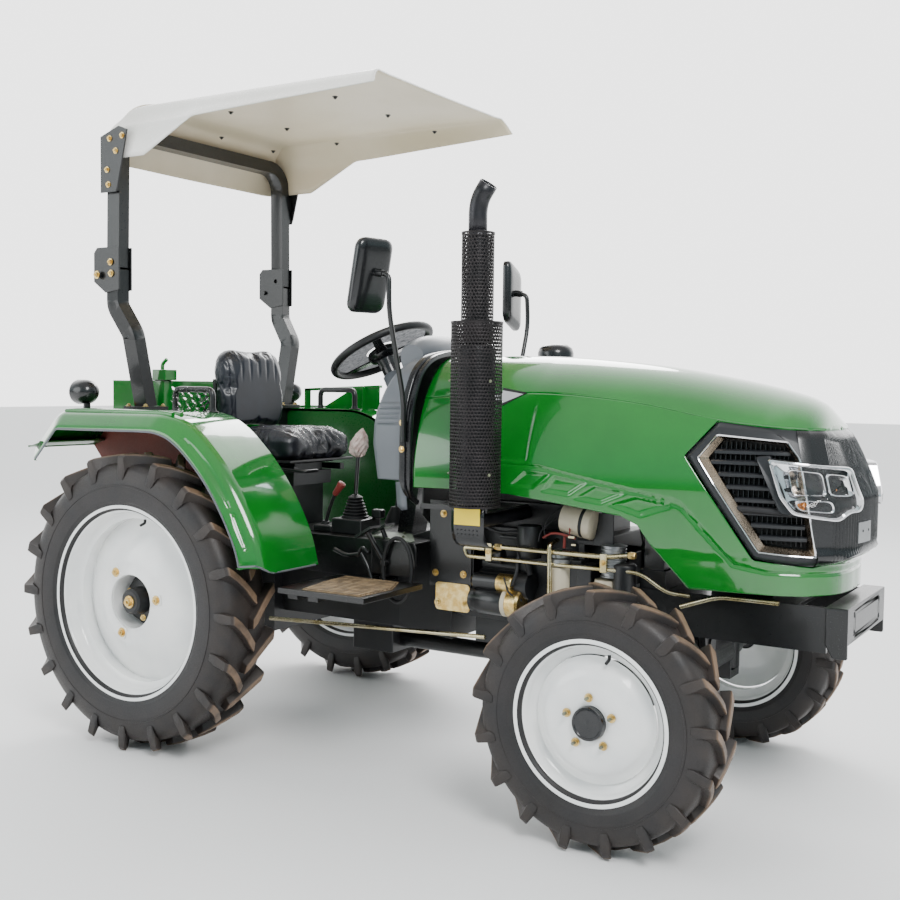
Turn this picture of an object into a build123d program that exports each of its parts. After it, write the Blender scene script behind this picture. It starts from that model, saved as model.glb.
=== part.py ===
from build123d import *
import os
from math import atan2, cos, degrees, radians, sin, sqrt

# A compact four-wheel-drive farm tractor with a folding roll bar and a sun canopy.
# Millimetres. +X is forward from the rear axle, +Y is to the left, +Z is up from the ground.

# ---------------------------------------------------------------- driving dimensions
wheelbase = 1654.0
fit_gap = 0.3            # running gap round pins and shafts, and under soft pieces
move_gap = 6.0           # least gap between pieces that move past each other

# rear wheels
rear_axle_z = 491.0      # also the tyre's outer radius, at the lugs' tips
rear_track_half = 607.0
rear_tyre_width = 212.0
rear_seat_r = 305.0      # bead seat of the rim
rear_lugs, rear_lug_height = 20, 27.0
# front wheels
front_axle_z = 350.0
front_track_half = 583.0
front_tyre_width = 163.0
front_seat_r = 203.0
front_lugs, front_lug_height = 17, 22.0
lug_lead = 0.21          # how far a lug's nose leads its outer end, as a share of the radius
lug_foot_width, lug_top_width = 42.0, 27.0
rear_facets, front_facets = 32, 28   # flats around a tyre's carcass
rim_flange_rise = 20.0
bead_share, flange_share = 0.72, 0.88   # places across the rim, as shares of the tyre's half width
well_depth = 26.0
rim_wall = 6.0

# steering
kingpin_y = 450.0
steer_arm_length = 150.0
tie_rod_z = 286.0
tie_rod_r = 11.0
wheel_hand_x, wheel_hand_z = 535.0, 1335.0
wheel_hand_r = 194.0     # steering wheel, outside
wheel_hand_tilt = 29.3   # degrees from level

# hood and cowl
hood_rear_x = 900.0
hood_wall = 6.0
hood_floor_z = 640.0
arch_length = 42.0
arch_proud = 4.0
cowl_rear_x = 745.0
cowl_low_z = 909.0
hinge_x, hinge_z = 906.0, 1305.0
hinge_r, hinge_pin_r = 7.0, 4.0
hinge_in_y, hinge_split_y, hinge_out_y = 40.0, 65.0, 90.0
hood_gap = 10.0          # between the arch and the hood's rear edge

# exhaust
exhaust_x, exhaust_y = 1173.0, -430.0
guard_r, guard_low_z, guard_top_z = 76.0, 866.0, 1400.0
stack_r, stack_top_z = 44.0, 1665.0
pipe_r, pipe_top_z = 25.0, 1820.0

# roll bar and canopy
post_depth, post_width = 60.0, 50.0
post_x, post_y = -300.0, 444.0
post_knee_x, post_knee_y, post_knee_z = -235.0, 433.0, 1385.0
post_foot_x, post_foot_y = -234.0, 375.0
post_split_z = 1615.0
hoop_y = 438.0           # at the crossbar
fold_x, fold_z = -358.0, 1593.0
fold_pin_r = 8.0
hoop_bend_r = 90.0
canopy_top_z = 2194.0
hoop_bar_z = canopy_top_z - 97   # middle of the crossbar
canopy_wall = 5.0
canopy_half = 475.0

# operator's place
fender_inner_y, fender_outer_y = 385.0, 690.0
fender_top_z = 1115.0
fender_wall = 6.0
deck_z = 712.0
deck_half = 268.0
seat_pan_z = 945.0
seat_half = 200.0

# driveline
gearbox_half = 120.0
gearbox_top_z = 700.0
engine_rear_x = 930.0
engine_front_x = wheelbase - 174
engine_half = 135.0
drive_tube_z = 332.0
drive_tube_r = 28.0

# hitch
rockshaft_x, rockshaft_z = -130.0, 780.0
rockshaft_r = 30.0
lift_arm_length = 240.0
link_pivot_z = 400.0
lower_link_length = 560.0
hitch_droop = 15.0       # degrees below level as it stands
hitch_pin_r = 11.0

TO_TOP = (Align.CENTER, Align.CENTER, Align.MIN)
os.makedirs("parts", exist_ok=True)


# ---------------------------------------------------------------- small helpers
def save(builder, label):
    """Name a finished piece and write its STEP file."""
    builder.part.label = label
    export_step(builder.part, f"parts/{label}.step")


def block(x_span, y_span, z_span, mode=Mode.ADD):
    """A box given by its lowest and highest x, y and z."""
    low = (x_span[0], y_span[0], z_span[0])
    size = (x_span[1] - x_span[0], y_span[1] - y_span[0], z_span[1] - z_span[0])
    with Locations(low):
        Box(*size, align=(Align.MIN, Align.MIN, Align.MIN), mode=mode)


def bar(start, end, radius, mode=Mode.ADD):
    """A round bar from one point to another."""
    way = Vector(*end) - Vector(*start)
    with Locations(Plane(origin=start, z_dir=way)):
        Cylinder(radius, way.length, align=TO_TOP, mode=mode)


def side_plate(outline, y_span, mode=Mode.ADD):
    """A plate whose outline is given as x, z points and whose thickness runs along Y."""
    with BuildSketch(Plane.XZ.offset(-y_span[1])) as face:
        Polygon(*outline, align=None)
    extrude(face.sketch, amount=y_span[1] - y_span[0], mode=mode)


def front_plate(outline, x_span, mode=Mode.ADD):
    """A plate whose outline is given as y, z points and whose thickness runs along X."""
    with BuildSketch(Plane.YZ.offset(x_span[0])) as face:
        Polygon(*outline, align=None)
    extrude(face.sketch, amount=x_span[1] - x_span[0], mode=mode)


def bent_tube(points, bends, radius):
    """A round tube along straight runs joined by tangent arcs."""
    with BuildLine() as way:
        FilletPolyline(*points, radius=bends)
    with BuildSketch(Plane(origin=points[0], z_dir=Vector(*points[1]) - Vector(*points[0]))) as ring:
        Circle(radius)
    sweep(ring.sketch, path=way.line)


def from_axle(points):
    """Outline points whose x is given forward of the front axle."""
    return [(wheelbase + x, z) for x, z in points]


def from_top(points):
    """Outline points whose z is given below the canopy's top."""
    return [(x, canopy_top_z - drop) for x, drop in points]


def wheel_plane(x, y, z):
    """A plane across the tyre: its x is the wheel's axis, its y is up."""
    return Plane(origin=(x, y, z), x_dir=(0, 1, 0), z_dir=(1, 0, 0))


def arch_face(x, side_half, low_z, crease_half, crease_z, top_z):
    """The outline across hood or cowl: upright sides, a leaning shoulder and a crowned top."""
    side_z = crease_z - 0.5 * (crease_z - 900)
    crown = (0.6 * crease_half, top_z - 0.24 * (top_z - crease_z))
    with BuildSketch(Plane.YZ.offset(x)) as face:
        with BuildLine():
            Polyline((0, low_z), (side_half, low_z), (side_half, side_z), (crease_half, crease_z))
            ThreePointArc((crease_half, crease_z), crown, (0, top_z))
            mirror(about=Plane.YZ)
        make_face()
    return face.sketch


# ---------------------------------------------------------------- wheels
def make_lug(centre, turn, hand, radius, half, height):
    """One lug: a slanting bar from the shoulder to past the middle, narrower at its top."""
    out = Vector(sin(radians(turn)), 0, cos(radians(turn)))
    lead = lug_lead * radius
    top = sqrt(radius ** 2 - (lead / 2 + lug_top_width / 2) ** 2)
    with BuildPart() as lug:
        # columns: distance from the axle, outer end as a share of the half width, width
        for level, shoulder, wide in (
            (radius - height - 10, 0.99, lug_foot_width),
            (top, 0.90, lug_top_width),
        ):
            ends = ((hand * half * shoulder, lead / 2), (-hand * half * 0.08, -lead / 2))
            (u_out, v_out), (u_in, v_in) = ends
            with BuildSketch(Plane(origin=centre + out * level, x_dir=(0, 1, 0), z_dir=out)):
                Polygon((u_out, v_out - wide / 2), (u_in, v_in - wide / 2), (u_in, v_in + wide / 2),
                        (u_out, v_out + wide / 2), align=None)
        loft(ruled=True)
    return lug.part


def polygon_loft(x, y, z, sections, sides, corners_on):
    """Faceted body about a wheel's axis, through polygons at (distance outward, radius)."""
    with BuildPart() as body:
        for u, r in sections:
            with BuildSketch(Plane(origin=(x, y + u, z), x_dir=(1, 0, 0), z_dir=(0, 1, 0))):
                RegularPolygon(r, sides, major_radius=corners_on)
        loft(ruled=True)
    return body.part


def make_tyre(label, x, side, track_half, z, width, seat_r, lugs, lug_height, facets):
    """One tyre: faceted carcass, and two rows of lugs out to the tyre's radius."""
    y, radius, half = side * track_half, z, width / 2
    tread_r = radius - lug_height
    height = radius - seat_r
    corner = (lug_lead * radius + lug_top_width) / 2
    first_turn = 180 - degrees(atan2(corner, sqrt(radius ** 2 - corner ** 2)))
    turns = [(hand, first_turn + 360 * (count + (0 if hand == side else 0.5)) / lugs)
             for hand in (-1, 1) for count in range(lugs)]
    bars = [make_lug(Vector(x, y, z), turn, hand, radius, half, lug_height) for hand, turn in turns]
    # columns: share of the half width, radius
    outside = [(half * share, r) for share, r in (
        (1.00, seat_r + 0.62 * height),
        (0.84, tread_r),
    )]
    bore = [(half * share, r) for share, r in (
        (1.02, seat_r + 0.40 * height),
        (1.00, seat_r + 0.40 * height),
        (flange_share, seat_r + rim_flange_rise),
        (bead_share, seat_r),
    )]
    outside = [*[(-u, r) for u, r in outside], *reversed(outside)]
    bore = [*[(-u, r) for u, r in bore], *reversed(bore)]
    with BuildPart() as tyre:
        add(polygon_loft(x, y, z, outside, facets, True))
        add(polygon_loft(x, y, z, bore, facets, False), mode=Mode.SUBTRACT)
        add(bars)
    save(tyre, label)


def make_rim(label, x, side, track_half, z, width, seat_r, disc, hub):
    """One rim with its dished disc, hub and stub shaft."""
    y = side * track_half
    half = width / 2
    with BuildPart() as rim:
        with BuildSketch(wheel_plane(x, y, z)):
            with BuildLine():
                # the barrel's outer face, then back along its inner face
                outer = [(flange_share * half, seat_r + rim_flange_rise), (bead_share * half, seat_r),
                         (0.30 * half, seat_r), (0.20 * half, seat_r - well_depth)]
                upper = [*outer, *[(-u, r) for u, r in reversed(outer)]]
                inner = [(u, r - rim_wall) for u, r in reversed(upper)]
                Polyline(*upper, *inner, close=True)
            make_face()
        revolve(axis=Axis((x, y, z), (0, 1, 0)))
        with BuildSketch(wheel_plane(x, y, z)):
            Polygon(*[(side * u, r) for u, r in disc], align=None)
        revolve(axis=Axis((x, y, z), (0, 1, 0)))
        for start, end, radius in hub:
            bar((x, y + side * start, z), (x, y + side * end, z), radius)
    return rim


# disc outlines, along the face and back along the rear: (distance outward from the wheel's
# middle, radius); the rear disc has an open boss with the hub inside
rear_well_r = rear_seat_r - well_depth - rim_wall / 2
front_well_r = front_seat_r - well_depth - rim_wall / 2
rear_disc = [(-12, rear_well_r), (-2, rear_well_r - 26), (52, 140), (58, 90), (-8, 90), (-8, 50),
             (-14, 50), (-14, 96), (51, 96), (45, 137), (-8, rear_well_r - 29), (-18, rear_well_r)]
front_disc = [(14, front_well_r), (28, front_well_r - 4), (42, 150), (60, 120), (62, 30),
              (56, 30), (54, 116), (36, 146), (22, front_well_r - 9), (8, front_well_r)]
rear_hub = [(-96, -8, 62), (-9, 60, 42), (60, 84, 18), (-150, -96, 30)]
front_hub = [(-62, 62, 50), (61, 84, 45)]
for name, side in (("right", -1), ("left", 1)):
    make_tyre(f"rear_tyre_{name}", 0, side, rear_track_half, rear_axle_z, rear_tyre_width,
              rear_seat_r, rear_lugs, rear_lug_height, rear_facets)
    make_tyre(f"front_tyre_{name}", wheelbase, side, front_track_half, front_axle_z, front_tyre_width,
              front_seat_r, front_lugs, front_lug_height, front_facets)
    rear = make_rim(f"rear_rim_{name}", 0, side, rear_track_half, rear_axle_z,
                    rear_tyre_width, rear_seat_r, rear_disc, rear_hub)
    save(rear, f"rear_rim_{name}")
    front = make_rim(f"front_rim_{name}", wheelbase, side, front_track_half, front_axle_z,
                     front_tyre_width, front_seat_r, front_disc, front_hub)
    with front:
        bore_start = side * (front_track_half - 70)
        bore_end = side * (front_track_half + 30)
        bar((wheelbase, bore_start, front_axle_z), (wheelbase, bore_end, front_axle_z),
            25 + fit_gap, mode=Mode.SUBTRACT)
    save(front, f"front_rim_{name}")


# ---------------------------------------------------------------- engine and driveline
with BuildPart() as engine:
    block((engine_rear_x, engine_front_x), (-engine_half, engine_half), (470, 770))
    block((engine_rear_x + 60, engine_front_x - 40), (-105, 105), (385, 470))
    block((engine_rear_x + 20, engine_front_x - 40), (-105, 105), (770, 850))
    block((engine_rear_x + 50, engine_front_x - 70), (-65, 65), (850, 895))
save(engine, "engine")

starter_x = engine_rear_x + 130
fuel_filter_x, left_filter_x = engine_rear_x + 300, engine_rear_x + 220
oil_filter_x, canister_x = engine_front_x - 135, engine_front_x - 95
alternator_x = engine_front_x - 90
with BuildPart() as fittings:
    # starter and its nose, seated on the block's right side
    bar((starter_x, -182, 600), (starter_x + 175, -182, 600), 42)
    bar((starter_x, -162, 655), (starter_x + 120, -162, 655), 24)
    block((starter_x + 25, starter_x + 150), (-engine_half - 30, -engine_half), (572, 668))
    # filters and breather, each on a pad
    # columns: x, y, z low, z high, radius
    for x, y, z_low, z_high, radius in (
        (fuel_filter_x, -190, 690, 790, 38),
        (oil_filter_x, -195, 560, 690, 40),
        (canister_x, -160, 790, 880, 44),
        (left_filter_x, 190, 560, 680, 45),
    ):
        bar((x, y, z_low), (x, y, z_high), radius)
    block((fuel_filter_x - 15, fuel_filter_x + 15), (-190, -engine_half), (705, 735))
    block((oil_filter_x - 15, oil_filter_x + 15), (-195, -engine_half), (600, 640))
    block((canister_x - 20, canister_x + 20), (-160, -105), (800, 840))
    block((left_filter_x - 15, left_filter_x + 15), (engine_half, 190), (600, 640))
    # alternator and injection pump on the left
    bar((alternator_x - 60, 195, 706), (alternator_x + 60, 195, 706), 58)
    block((alternator_x - 40, alternator_x + 40), (engine_half, 195), (670, 710))
    # fan pulley and fan
    bar((engine_front_x, 0, 700), (engine_front_x + 60, 0, 700), 30)
    bar((engine_front_x + 60, 0, 700), (engine_front_x + 80, 0, 700), 60)
    for turn in range(0, 360, 60):
        with Locations(Plane(origin=(engine_front_x + 70, 0, 700), x_dir=(0, 1, 0), z_dir=(1, 0, 0))):
            with Locations(Location((105 * cos(radians(turn)), 105 * sin(radians(turn)), 0), (0, 0, turn))):
                Box(130, 50, 6)
save(fittings, "engine_fittings")

axle_case_half = 165.0
bell_x = 700.0           # where the clutch housing starts to widen
bell_rise, bell_half = 70.0, 155.0
pedal_x, pedal_z, pedal_boss_y = 745.0, 640.0, 134.0


def housing_top(x):
    """Height of the clutch housing's sloping top."""
    return gearbox_top_z + bell_rise * (x - bell_x) / (engine_rear_x - bell_x)


with BuildPart() as gearbox:
    block((190, bell_x), (-gearbox_half, gearbox_half), (400, gearbox_top_z))
    with BuildSketch(Plane.YZ.offset(bell_x)):
        with Locations((0, (gearbox_top_z + 400) / 2)):
            Rectangle(2 * gearbox_half, gearbox_top_z - 400)
    with BuildSketch(Plane.YZ.offset(engine_rear_x)):
        with Locations((0, (gearbox_top_z + bell_rise + 390) / 2)):
            Rectangle(2 * bell_half, gearbox_top_z + bell_rise - 390)
    loft()
    block((pedal_x - 15, pedal_x + 15), (-pedal_boss_y, pedal_boss_y), (pedal_z - 15, pedal_z + 15))
    # transfer case for the front drive
    block((470, 640), (-70, 70), (290, 400))
save(gearbox, "gearbox")

with BuildPart() as rear_axle:
    block((-190, 190), (-axle_case_half, axle_case_half), (330, 690))
    for side in (-1, 1):
        bar((0, side * axle_case_half, rear_axle_z), (0, side * 470, rear_axle_z), 68)
        bar((0, side * 452, rear_axle_z), (0, side * 478, rear_axle_z), 95)
        bar((0, side * 410, rear_axle_z), (0, side * 480, rear_axle_z), 30 + fit_gap, mode=Mode.SUBTRACT)
        # ears that carry the lower links
        for y in (side * 190, side * 232):
            side_plate([(-98, 432), (-98, 368), (-146, 380), (-154, 400), (-146, 420)], (y - 6, y + 6))
        block((-98, -30), sorted((side * axle_case_half, side * 238)), (368, 432))
        bar((rockshaft_x, side * 180, link_pivot_z), (rockshaft_x, side * 240, link_pivot_z),
            hitch_pin_r + fit_gap, mode=Mode.SUBTRACT)
save(rear_axle, "rear_axle")

with BuildPart() as lift_housing:
    block((-190, 170), (-140, 140), (690, 850))
    bar((rockshaft_x, -170, rockshaft_z), (rockshaft_x, 170, rockshaft_z), 46)
    bar((rockshaft_x, -175, rockshaft_z), (rockshaft_x, 175, rockshaft_z), rockshaft_r + fit_gap,
        mode=Mode.SUBTRACT)
    for y in (-31, 31):
        side_plate([(-190, 700), (-270, 720), (-270, 770), (-190, 790)], (y - 6, y + 6))
    bar((-250, -40, 745), (-250, 40, 745), 9.7, mode=Mode.SUBTRACT)
save(lift_housing, "lift_housing")

with BuildPart() as drawbar:
    block((-470, 60), (-32, 32), (298, 318))
    block((-40, 60), (-60, 60), (318, 330))
    block((-190, -150), (-60, 60), (318, 330))
    with Locations((-440, 0, 298)):
        Cylinder(11, 20, align=TO_TOP, mode=Mode.SUBTRACT)
save(drawbar, "drawbar")

with BuildPart() as pto_shaft:
    bar((-190, 0, 560), (-270, 0, 560), 17.45)
    bar((-190, 0, 560), (-202, 0, 560), 40)
save(pto_shaft, "pto_shaft")

pinion_x = wheelbase - 92
with BuildPart() as drive_tube:
    bar((640, 0, drive_tube_z), (pinion_x - fit_gap, 0, drive_tube_z), drive_tube_r)
save(drive_tube, "front_drive_tube")

# ---------------------------------------------------------------- front axle and steering
pivot_z = 455.0
pivot_pin_r = 20.0
pivot_cover = 30.0       # plate left below the pivot pin
knuckle_r = 40.0
ear_half_x = 32.0
ear_in_z, ear_out_z = 70.0, 95.0      # from the axle's height to the ears' faces
kingpin_r = 15.0
with BuildPart() as front_axle:
    bar((wheelbase, -392, front_axle_z), (wheelbase, 392, front_axle_z), 45)
    bar((wheelbase, -85, front_axle_z), (wheelbase, 85, front_axle_z), 90)
    bar((pinion_x, 0, drive_tube_z), (wheelbase - 60, 0, drive_tube_z), 50)
    block((wheelbase - 68, wheelbase + 68), (-34, 34), (front_axle_z + 60, pivot_z + 10))
    bar((wheelbase - 68, 0, pivot_z), (wheelbase + 68, 0, pivot_z), 34)
    bar((wheelbase - 104, 0, pivot_z), (wheelbase + 104, 0, pivot_z), pivot_pin_r)
    for side in (-1, 1):
        web = sorted((side * 386, side * 400))
        span = sorted((side * 386, side * (kingpin_y + 28)))
        block((wheelbase - ear_half_x, wheelbase + ear_half_x), web,
              (front_axle_z - ear_out_z, front_axle_z + ear_out_z))
        for low, high in ((-ear_out_z, -ear_in_z), (ear_in_z, ear_out_z)):
            block((wheelbase - ear_half_x, wheelbase + ear_half_x), span,
                  (front_axle_z + low, front_axle_z + high))
        bar((wheelbase, side * kingpin_y, front_axle_z - ear_out_z - 5),
            (wheelbase, side * kingpin_y, front_axle_z + ear_out_z + 5), kingpin_r + fit_gap,
            mode=Mode.SUBTRACT)
save(front_axle, "front_axle")

arm_eye_x = wheelbase - steer_arm_length
tie_eye_half = 12.0
tie_pin_r = 8.0
for name, side in (("right", -1), ("left", 1)):
    y = side * kingpin_y
    arm_low = tie_rod_z + tie_eye_half + 1.5
    with BuildPart() as knuckle:
        sleeve_half = ear_in_z - move_gap
        bar((wheelbase, y, front_axle_z - sleeve_half), (wheelbase, y, front_axle_z + sleeve_half),
            knuckle_r)
        bar((wheelbase, y, front_axle_z - ear_out_z), (wheelbase, y, front_axle_z + ear_out_z), kingpin_r)
        bar((wheelbase, y, front_axle_z), (wheelbase, side * (front_track_half + 25), front_axle_z), 25)
        bar((wheelbase, y, front_axle_z), (wheelbase, side * (kingpin_y + 58), front_axle_z), 36)
        block((arm_eye_x, wheelbase), (y - 12, y + 12), (arm_low, arm_low + 18))
        bar((arm_eye_x, y, arm_low), (arm_eye_x, y, arm_low + 18), 20)
        bar((arm_eye_x, y, tie_rod_z - tie_eye_half - 2), (arm_eye_x, y, arm_low), tie_pin_r)
    save(knuckle, f"knuckle_{name}")

with BuildPart() as tie_rod:
    bar((arm_eye_x, -kingpin_y, tie_rod_z), (arm_eye_x, kingpin_y, tie_rod_z), tie_rod_r)
    for y in (-kingpin_y, kingpin_y):
        bar((arm_eye_x, y, tie_rod_z - tie_eye_half), (arm_eye_x, y, tie_rod_z + tie_eye_half), 18)
        bar((arm_eye_x, y, tie_rod_z - 20), (arm_eye_x, y, tie_rod_z + 20), tie_pin_r + fit_gap,
            mode=Mode.SUBTRACT)
save(tie_rod, "tie_rod")

# ---------------------------------------------------------------- front frame
rail_y_in, rail_y_out = 190.0, 204.0
rail_low_z, rail_top_z = 512.0, 636.0
rail_rear_x = engine_front_x - 80
bracket_x = wheelbase + 486
bracket_front_x = bracket_x + 60
with BuildPart() as front_frame:
    for side in (-1, 1):
        rail = sorted((side * rail_y_in, side * rail_y_out))
        block((rail_rear_x, bracket_x), rail, (rail_low_z, rail_top_z))
        mount_y = sorted((side * engine_half, side * rail_y_in))
        block((rail_rear_x, engine_front_x - 20), mount_y, (540, 610))
    block((wheelbase - 94, wheelbase + 96), (-rail_y_in, rail_y_in), (rail_low_z, 536))
    for x in (wheelbase - 98, wheelbase + 76):
        plate_low_z = pivot_z - pivot_cover
        front_plate([(-60, rail_low_z), (-40, plate_low_z), (40, plate_low_z), (60, rail_low_z)], (x, x + 22))
    bar((wheelbase - 110, 0, pivot_z), (wheelbase + 110, 0, pivot_z), pivot_pin_r + 0.1, mode=Mode.SUBTRACT)
    block((wheelbase - 84, wheelbase + 406), (-rail_y_in, rail_y_in), (rail_top_z - 12, rail_top_z))
save(front_frame, "front_frame")

bumper_half = 225.0
with BuildPart() as bracket:
    block((bracket_x, bracket_front_x), (-bumper_half, bumper_half), (541, 641))
    block((bracket_x - 1, bracket_front_x - 10), (-bumper_half + 10, bumper_half - 10), (530, 631),
          mode=Mode.SUBTRACT)
    block((bracket_x, bracket_x + 10), (-rail_y_out, rail_y_out), (541, 631))
    for side in (-1, 1):
        side_plate([(bracket_x, 541), (bracket_front_x, 541), (bracket_front_x, 505), (bracket_x + 20, 505)],
                   sorted((side * (bumper_half - 10), side * bumper_half)))
    # four bolt holes through the front face
    with Locations(Plane(origin=(bracket_front_x, 0, 591), x_dir=(0, 1, 0), z_dir=(1, 0, 0))):
        with GridLocations(300, 50, 2, 2):
            Cylinder(7, 30, mode=Mode.SUBTRACT)
save(bracket, "front_bracket")

radiator_x = wheelbase - 14
with BuildPart() as radiator:
    block((radiator_x - 30, radiator_x + 30), (-190, 190), (rail_top_z, 1020))
    block((radiator_x - 40, radiator_x + 40), (-200, 200), (1020, 1060))
    block((radiator_x - 40, radiator_x + 40), (-200, 200), (rail_top_z, 690))
save(radiator, "radiator")

with BuildPart() as battery:
    block((wheelbase + 136, wheelbase + 316), (-125, 125), (rail_top_z, 840))
save(battery, "battery")

# side brackets where a loader frame bolts on
side_x = (905.0, 1035.0)
with BuildPart() as side_brackets:
    for side in (-1, 1):
        block(side_x, sorted((side * 197, side * 185)), (505, 842))
        block((940, 1030), sorted((side * engine_half, side * 185)), (560, 640))
        for z in (530, 600):
            for x in (930, 1010):
                bar((x, side * 184, z), (x, side * 198, z), 8, mode=Mode.SUBTRACT)
save(side_brackets, "side_brackets")

# ---------------------------------------------------------------- exhaust
with BuildPart() as exhaust:
    bend_z = 820.0
    elbow = [(exhaust_x, -105, bend_z), (exhaust_x, exhaust_y, bend_z), (exhaust_x, exhaust_y, guard_low_z)]
    bent_tube(elbow, [30], 22)
    bar((exhaust_x, exhaust_y, guard_low_z), (exhaust_x, exhaust_y, guard_top_z), guard_r)
    bar((exhaust_x, exhaust_y, guard_top_z), (exhaust_x, exhaust_y, stack_top_z), stack_r)
    bent_tube([(exhaust_x, exhaust_y, stack_top_z), (exhaust_x, exhaust_y, pipe_top_z - 70),
               (exhaust_x + 45, exhaust_y, pipe_top_z)], [60], pipe_r)
    # carrier between the guard's foot and the side bracket
    side_plate([(1000, 850), (1230, 850), (1230, 866), (1000, 866)], (exhaust_y + 20, -197))
    side_plate([(1000, 700), (1035, 700), (1035, 866), (1000, 866)], (-203, -197))
save(exhaust, "exhaust")

# ---------------------------------------------------------------- hood, mask and lamps
# columns: x, half width at the side, half width at the crease, crease z, top z
hood_sections = [
    (hood_rear_x, 345, 306, 1180, 1312),
    (wheelbase - 394, 316, 273, 1202, 1309),
    (wheelbase - 34, 288, 246, 1172, 1278),
    (wheelbase + 176, 272, 231, 1135, 1243),
    (wheelbase + 356, 254, 212, 1105, 1203),
    (wheelbase + 446, 226, 180, 1065, 1150),
    (wheelbase + 511, 165, 128, 1000, 1060),
    (wheelbase + 536, 118, 95, 900, 960),
]
past_nose = 606.0        # a place in front of the nose, forward of the front axle
lower_edge = [(hood_rear_x - 100, 897), (hood_rear_x + 114, 901),
              *from_axle([(-434, 896), (-264, 876), (-80, 852), (-29, 829), (10, 776), (122, 658),
                          (452, 669), (past_nose, 669)])]
mask_outline = from_axle([(99, 1033), (183, 1133), (464, 1095), (past_nose, 1060), (past_nose, 760),
                          (468, 770), (304, 756)])
mask_joint = 1.0
mask_wall = 10.0
# the grille on each flank: its opening, and the bars left across it
grille_outline = from_axle([(163, 1027), (203, 1082), (374, 1070), (402, 1030), (444, 787), (325, 795)])
grille_bars, grille_pitch, grille_top_z = 8, 33.0, 1047.0
grille_bar_height = 14.0


def hood_form(inset, low_z):
    """The hood's whole form as one solid, drawn in by the given distance all round."""
    faces = []
    for x, side_half, crease_half, crease_z, top_z in hood_sections:
        back = inset * (x - hood_rear_x) / (hood_sections[-1][0] - hood_rear_x)
        faces.append(arch_face(x - back, side_half - inset, low_z, crease_half - inset, crease_z - inset,
                               top_z - inset))
    return loft(faces, ruled=True, mode=Mode.PRIVATE)

with BuildPart() as hood_outer:
    add(hood_form(0, hood_floor_z))
with BuildPart() as hood_shell:
    add(hood_outer.part)
    add(hood_form(hood_wall, hood_floor_z - 10), mode=Mode.SUBTRACT)
    under_edge = [(wheelbase + past_nose, hood_floor_z - 40), (hood_rear_x - 100, hood_floor_z - 40)]
    side_plate([*lower_edge, *under_edge], (-400, 400), mode=Mode.SUBTRACT)
    side_plate(mask_outline, (-400, 400), mode=Mode.SUBTRACT)
    # hinge barrels with their pins, and notches for the arch's barrels
    for side in (-1, 1):
        notch = sorted((side * (hinge_in_y - 3), side * (hinge_split_y + 0.5)))
        block((hood_rear_x - 1, hinge_x + 14), notch, (1280, 1330), mode=Mode.SUBTRACT)
        barrel_y = side * (hinge_split_y + 0.5)
        bar((hinge_x, barrel_y, hinge_z), (hinge_x, side * hinge_out_y, hinge_z), hinge_r)
        bar((hinge_x, side * hinge_in_y, hinge_z), (hinge_x, side * hinge_out_y, hinge_z), hinge_pin_r)
save(hood_shell, "hood")

with BuildPart() as mask:
    add(hood_outer.part)
    add(hood_form(mask_wall, hood_floor_z - 10), mode=Mode.SUBTRACT)
    with BuildSketch(Plane.XZ.offset(-400)) as face:
        Polygon(*mask_outline, align=None)
        offset(amount=-mask_joint)
    extrude(face.sketch, amount=800, mode=Mode.INTERSECT)
    # the slots between the grille's bars
    with BuildSketch(Plane.XZ) as slots:
        Polygon(*grille_outline, align=None)
        for count in range(grille_bars):
            with Locations((wheelbase + past_nose / 2, grille_top_z - count * grille_pitch)):
                Rectangle(past_nose, grille_bar_height, mode=Mode.SUBTRACT)
    extrude(slots.sketch, amount=400, both=True, mode=Mode.SUBTRACT)
save(mask, "mask")

lamp_proud = 22.0
lamp_outline = from_axle([(331, 1036), (586, 1024), (586, 905), (516, 873), (394, 880)])
lamp_inner_y = 70.0
with BuildPart() as headlamps:
    add(hood_form(-lamp_proud, hood_floor_z))
    add(hood_form(-fit_gap, hood_floor_z - 10), mode=Mode.SUBTRACT)
    side_plate(lamp_outline, (-400, 400), mode=Mode.INTERSECT)
    lamp_space = (wheelbase + 246, wheelbase + past_nose + 40)
    block(lamp_space, (-lamp_inner_y, lamp_inner_y), (800, 1100), mode=Mode.SUBTRACT)
save(headlamps, "headlamps")

# ---------------------------------------------------------------- cowl, arch and steering wheel
arch_x = hood_rear_x - hood_gap - arch_length
arch_half, arch_crease_half, arch_crease_z, arch_top_z = 345.0, 290.0, 1245.0, 1330.0
arch_band = 34.0
with BuildPart() as cowl:
    front = arch_face(arch_x, arch_half, cowl_low_z, arch_crease_half, arch_crease_z, arch_top_z)
    rear = arch_face(cowl_rear_x, arch_half - 6, cowl_low_z, arch_crease_half - 10, arch_crease_z + 10,
                     arch_top_z + 12)
    loft([rear, front], ruled=True)
    # footwell between the two wings, open to the rear
    well_half = arch_half - 40
    block((cowl_rear_x, arch_x - 20), (-well_half, well_half), (cowl_low_z, 1130), mode=Mode.SUBTRACT)
    # instrument hump
    side_plate([(cowl_rear_x, 1290), (700, 1250), (690, 1335), (790, 1384), (arch_x, 1330), (arch_x, 1290)],
               (-125, 125))
    # fire wall, with a foot on the clutch housing's sloping top
    block((arch_x - 20, arch_x), (-200, 200), (800, cowl_low_z))
    side_plate([(arch_x - 20, housing_top(arch_x - 20)), (arch_x, housing_top(arch_x)), (arch_x, 800),
                (arch_x - 20, 800)], (-120, 120))
save(cowl, "cowl")

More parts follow.
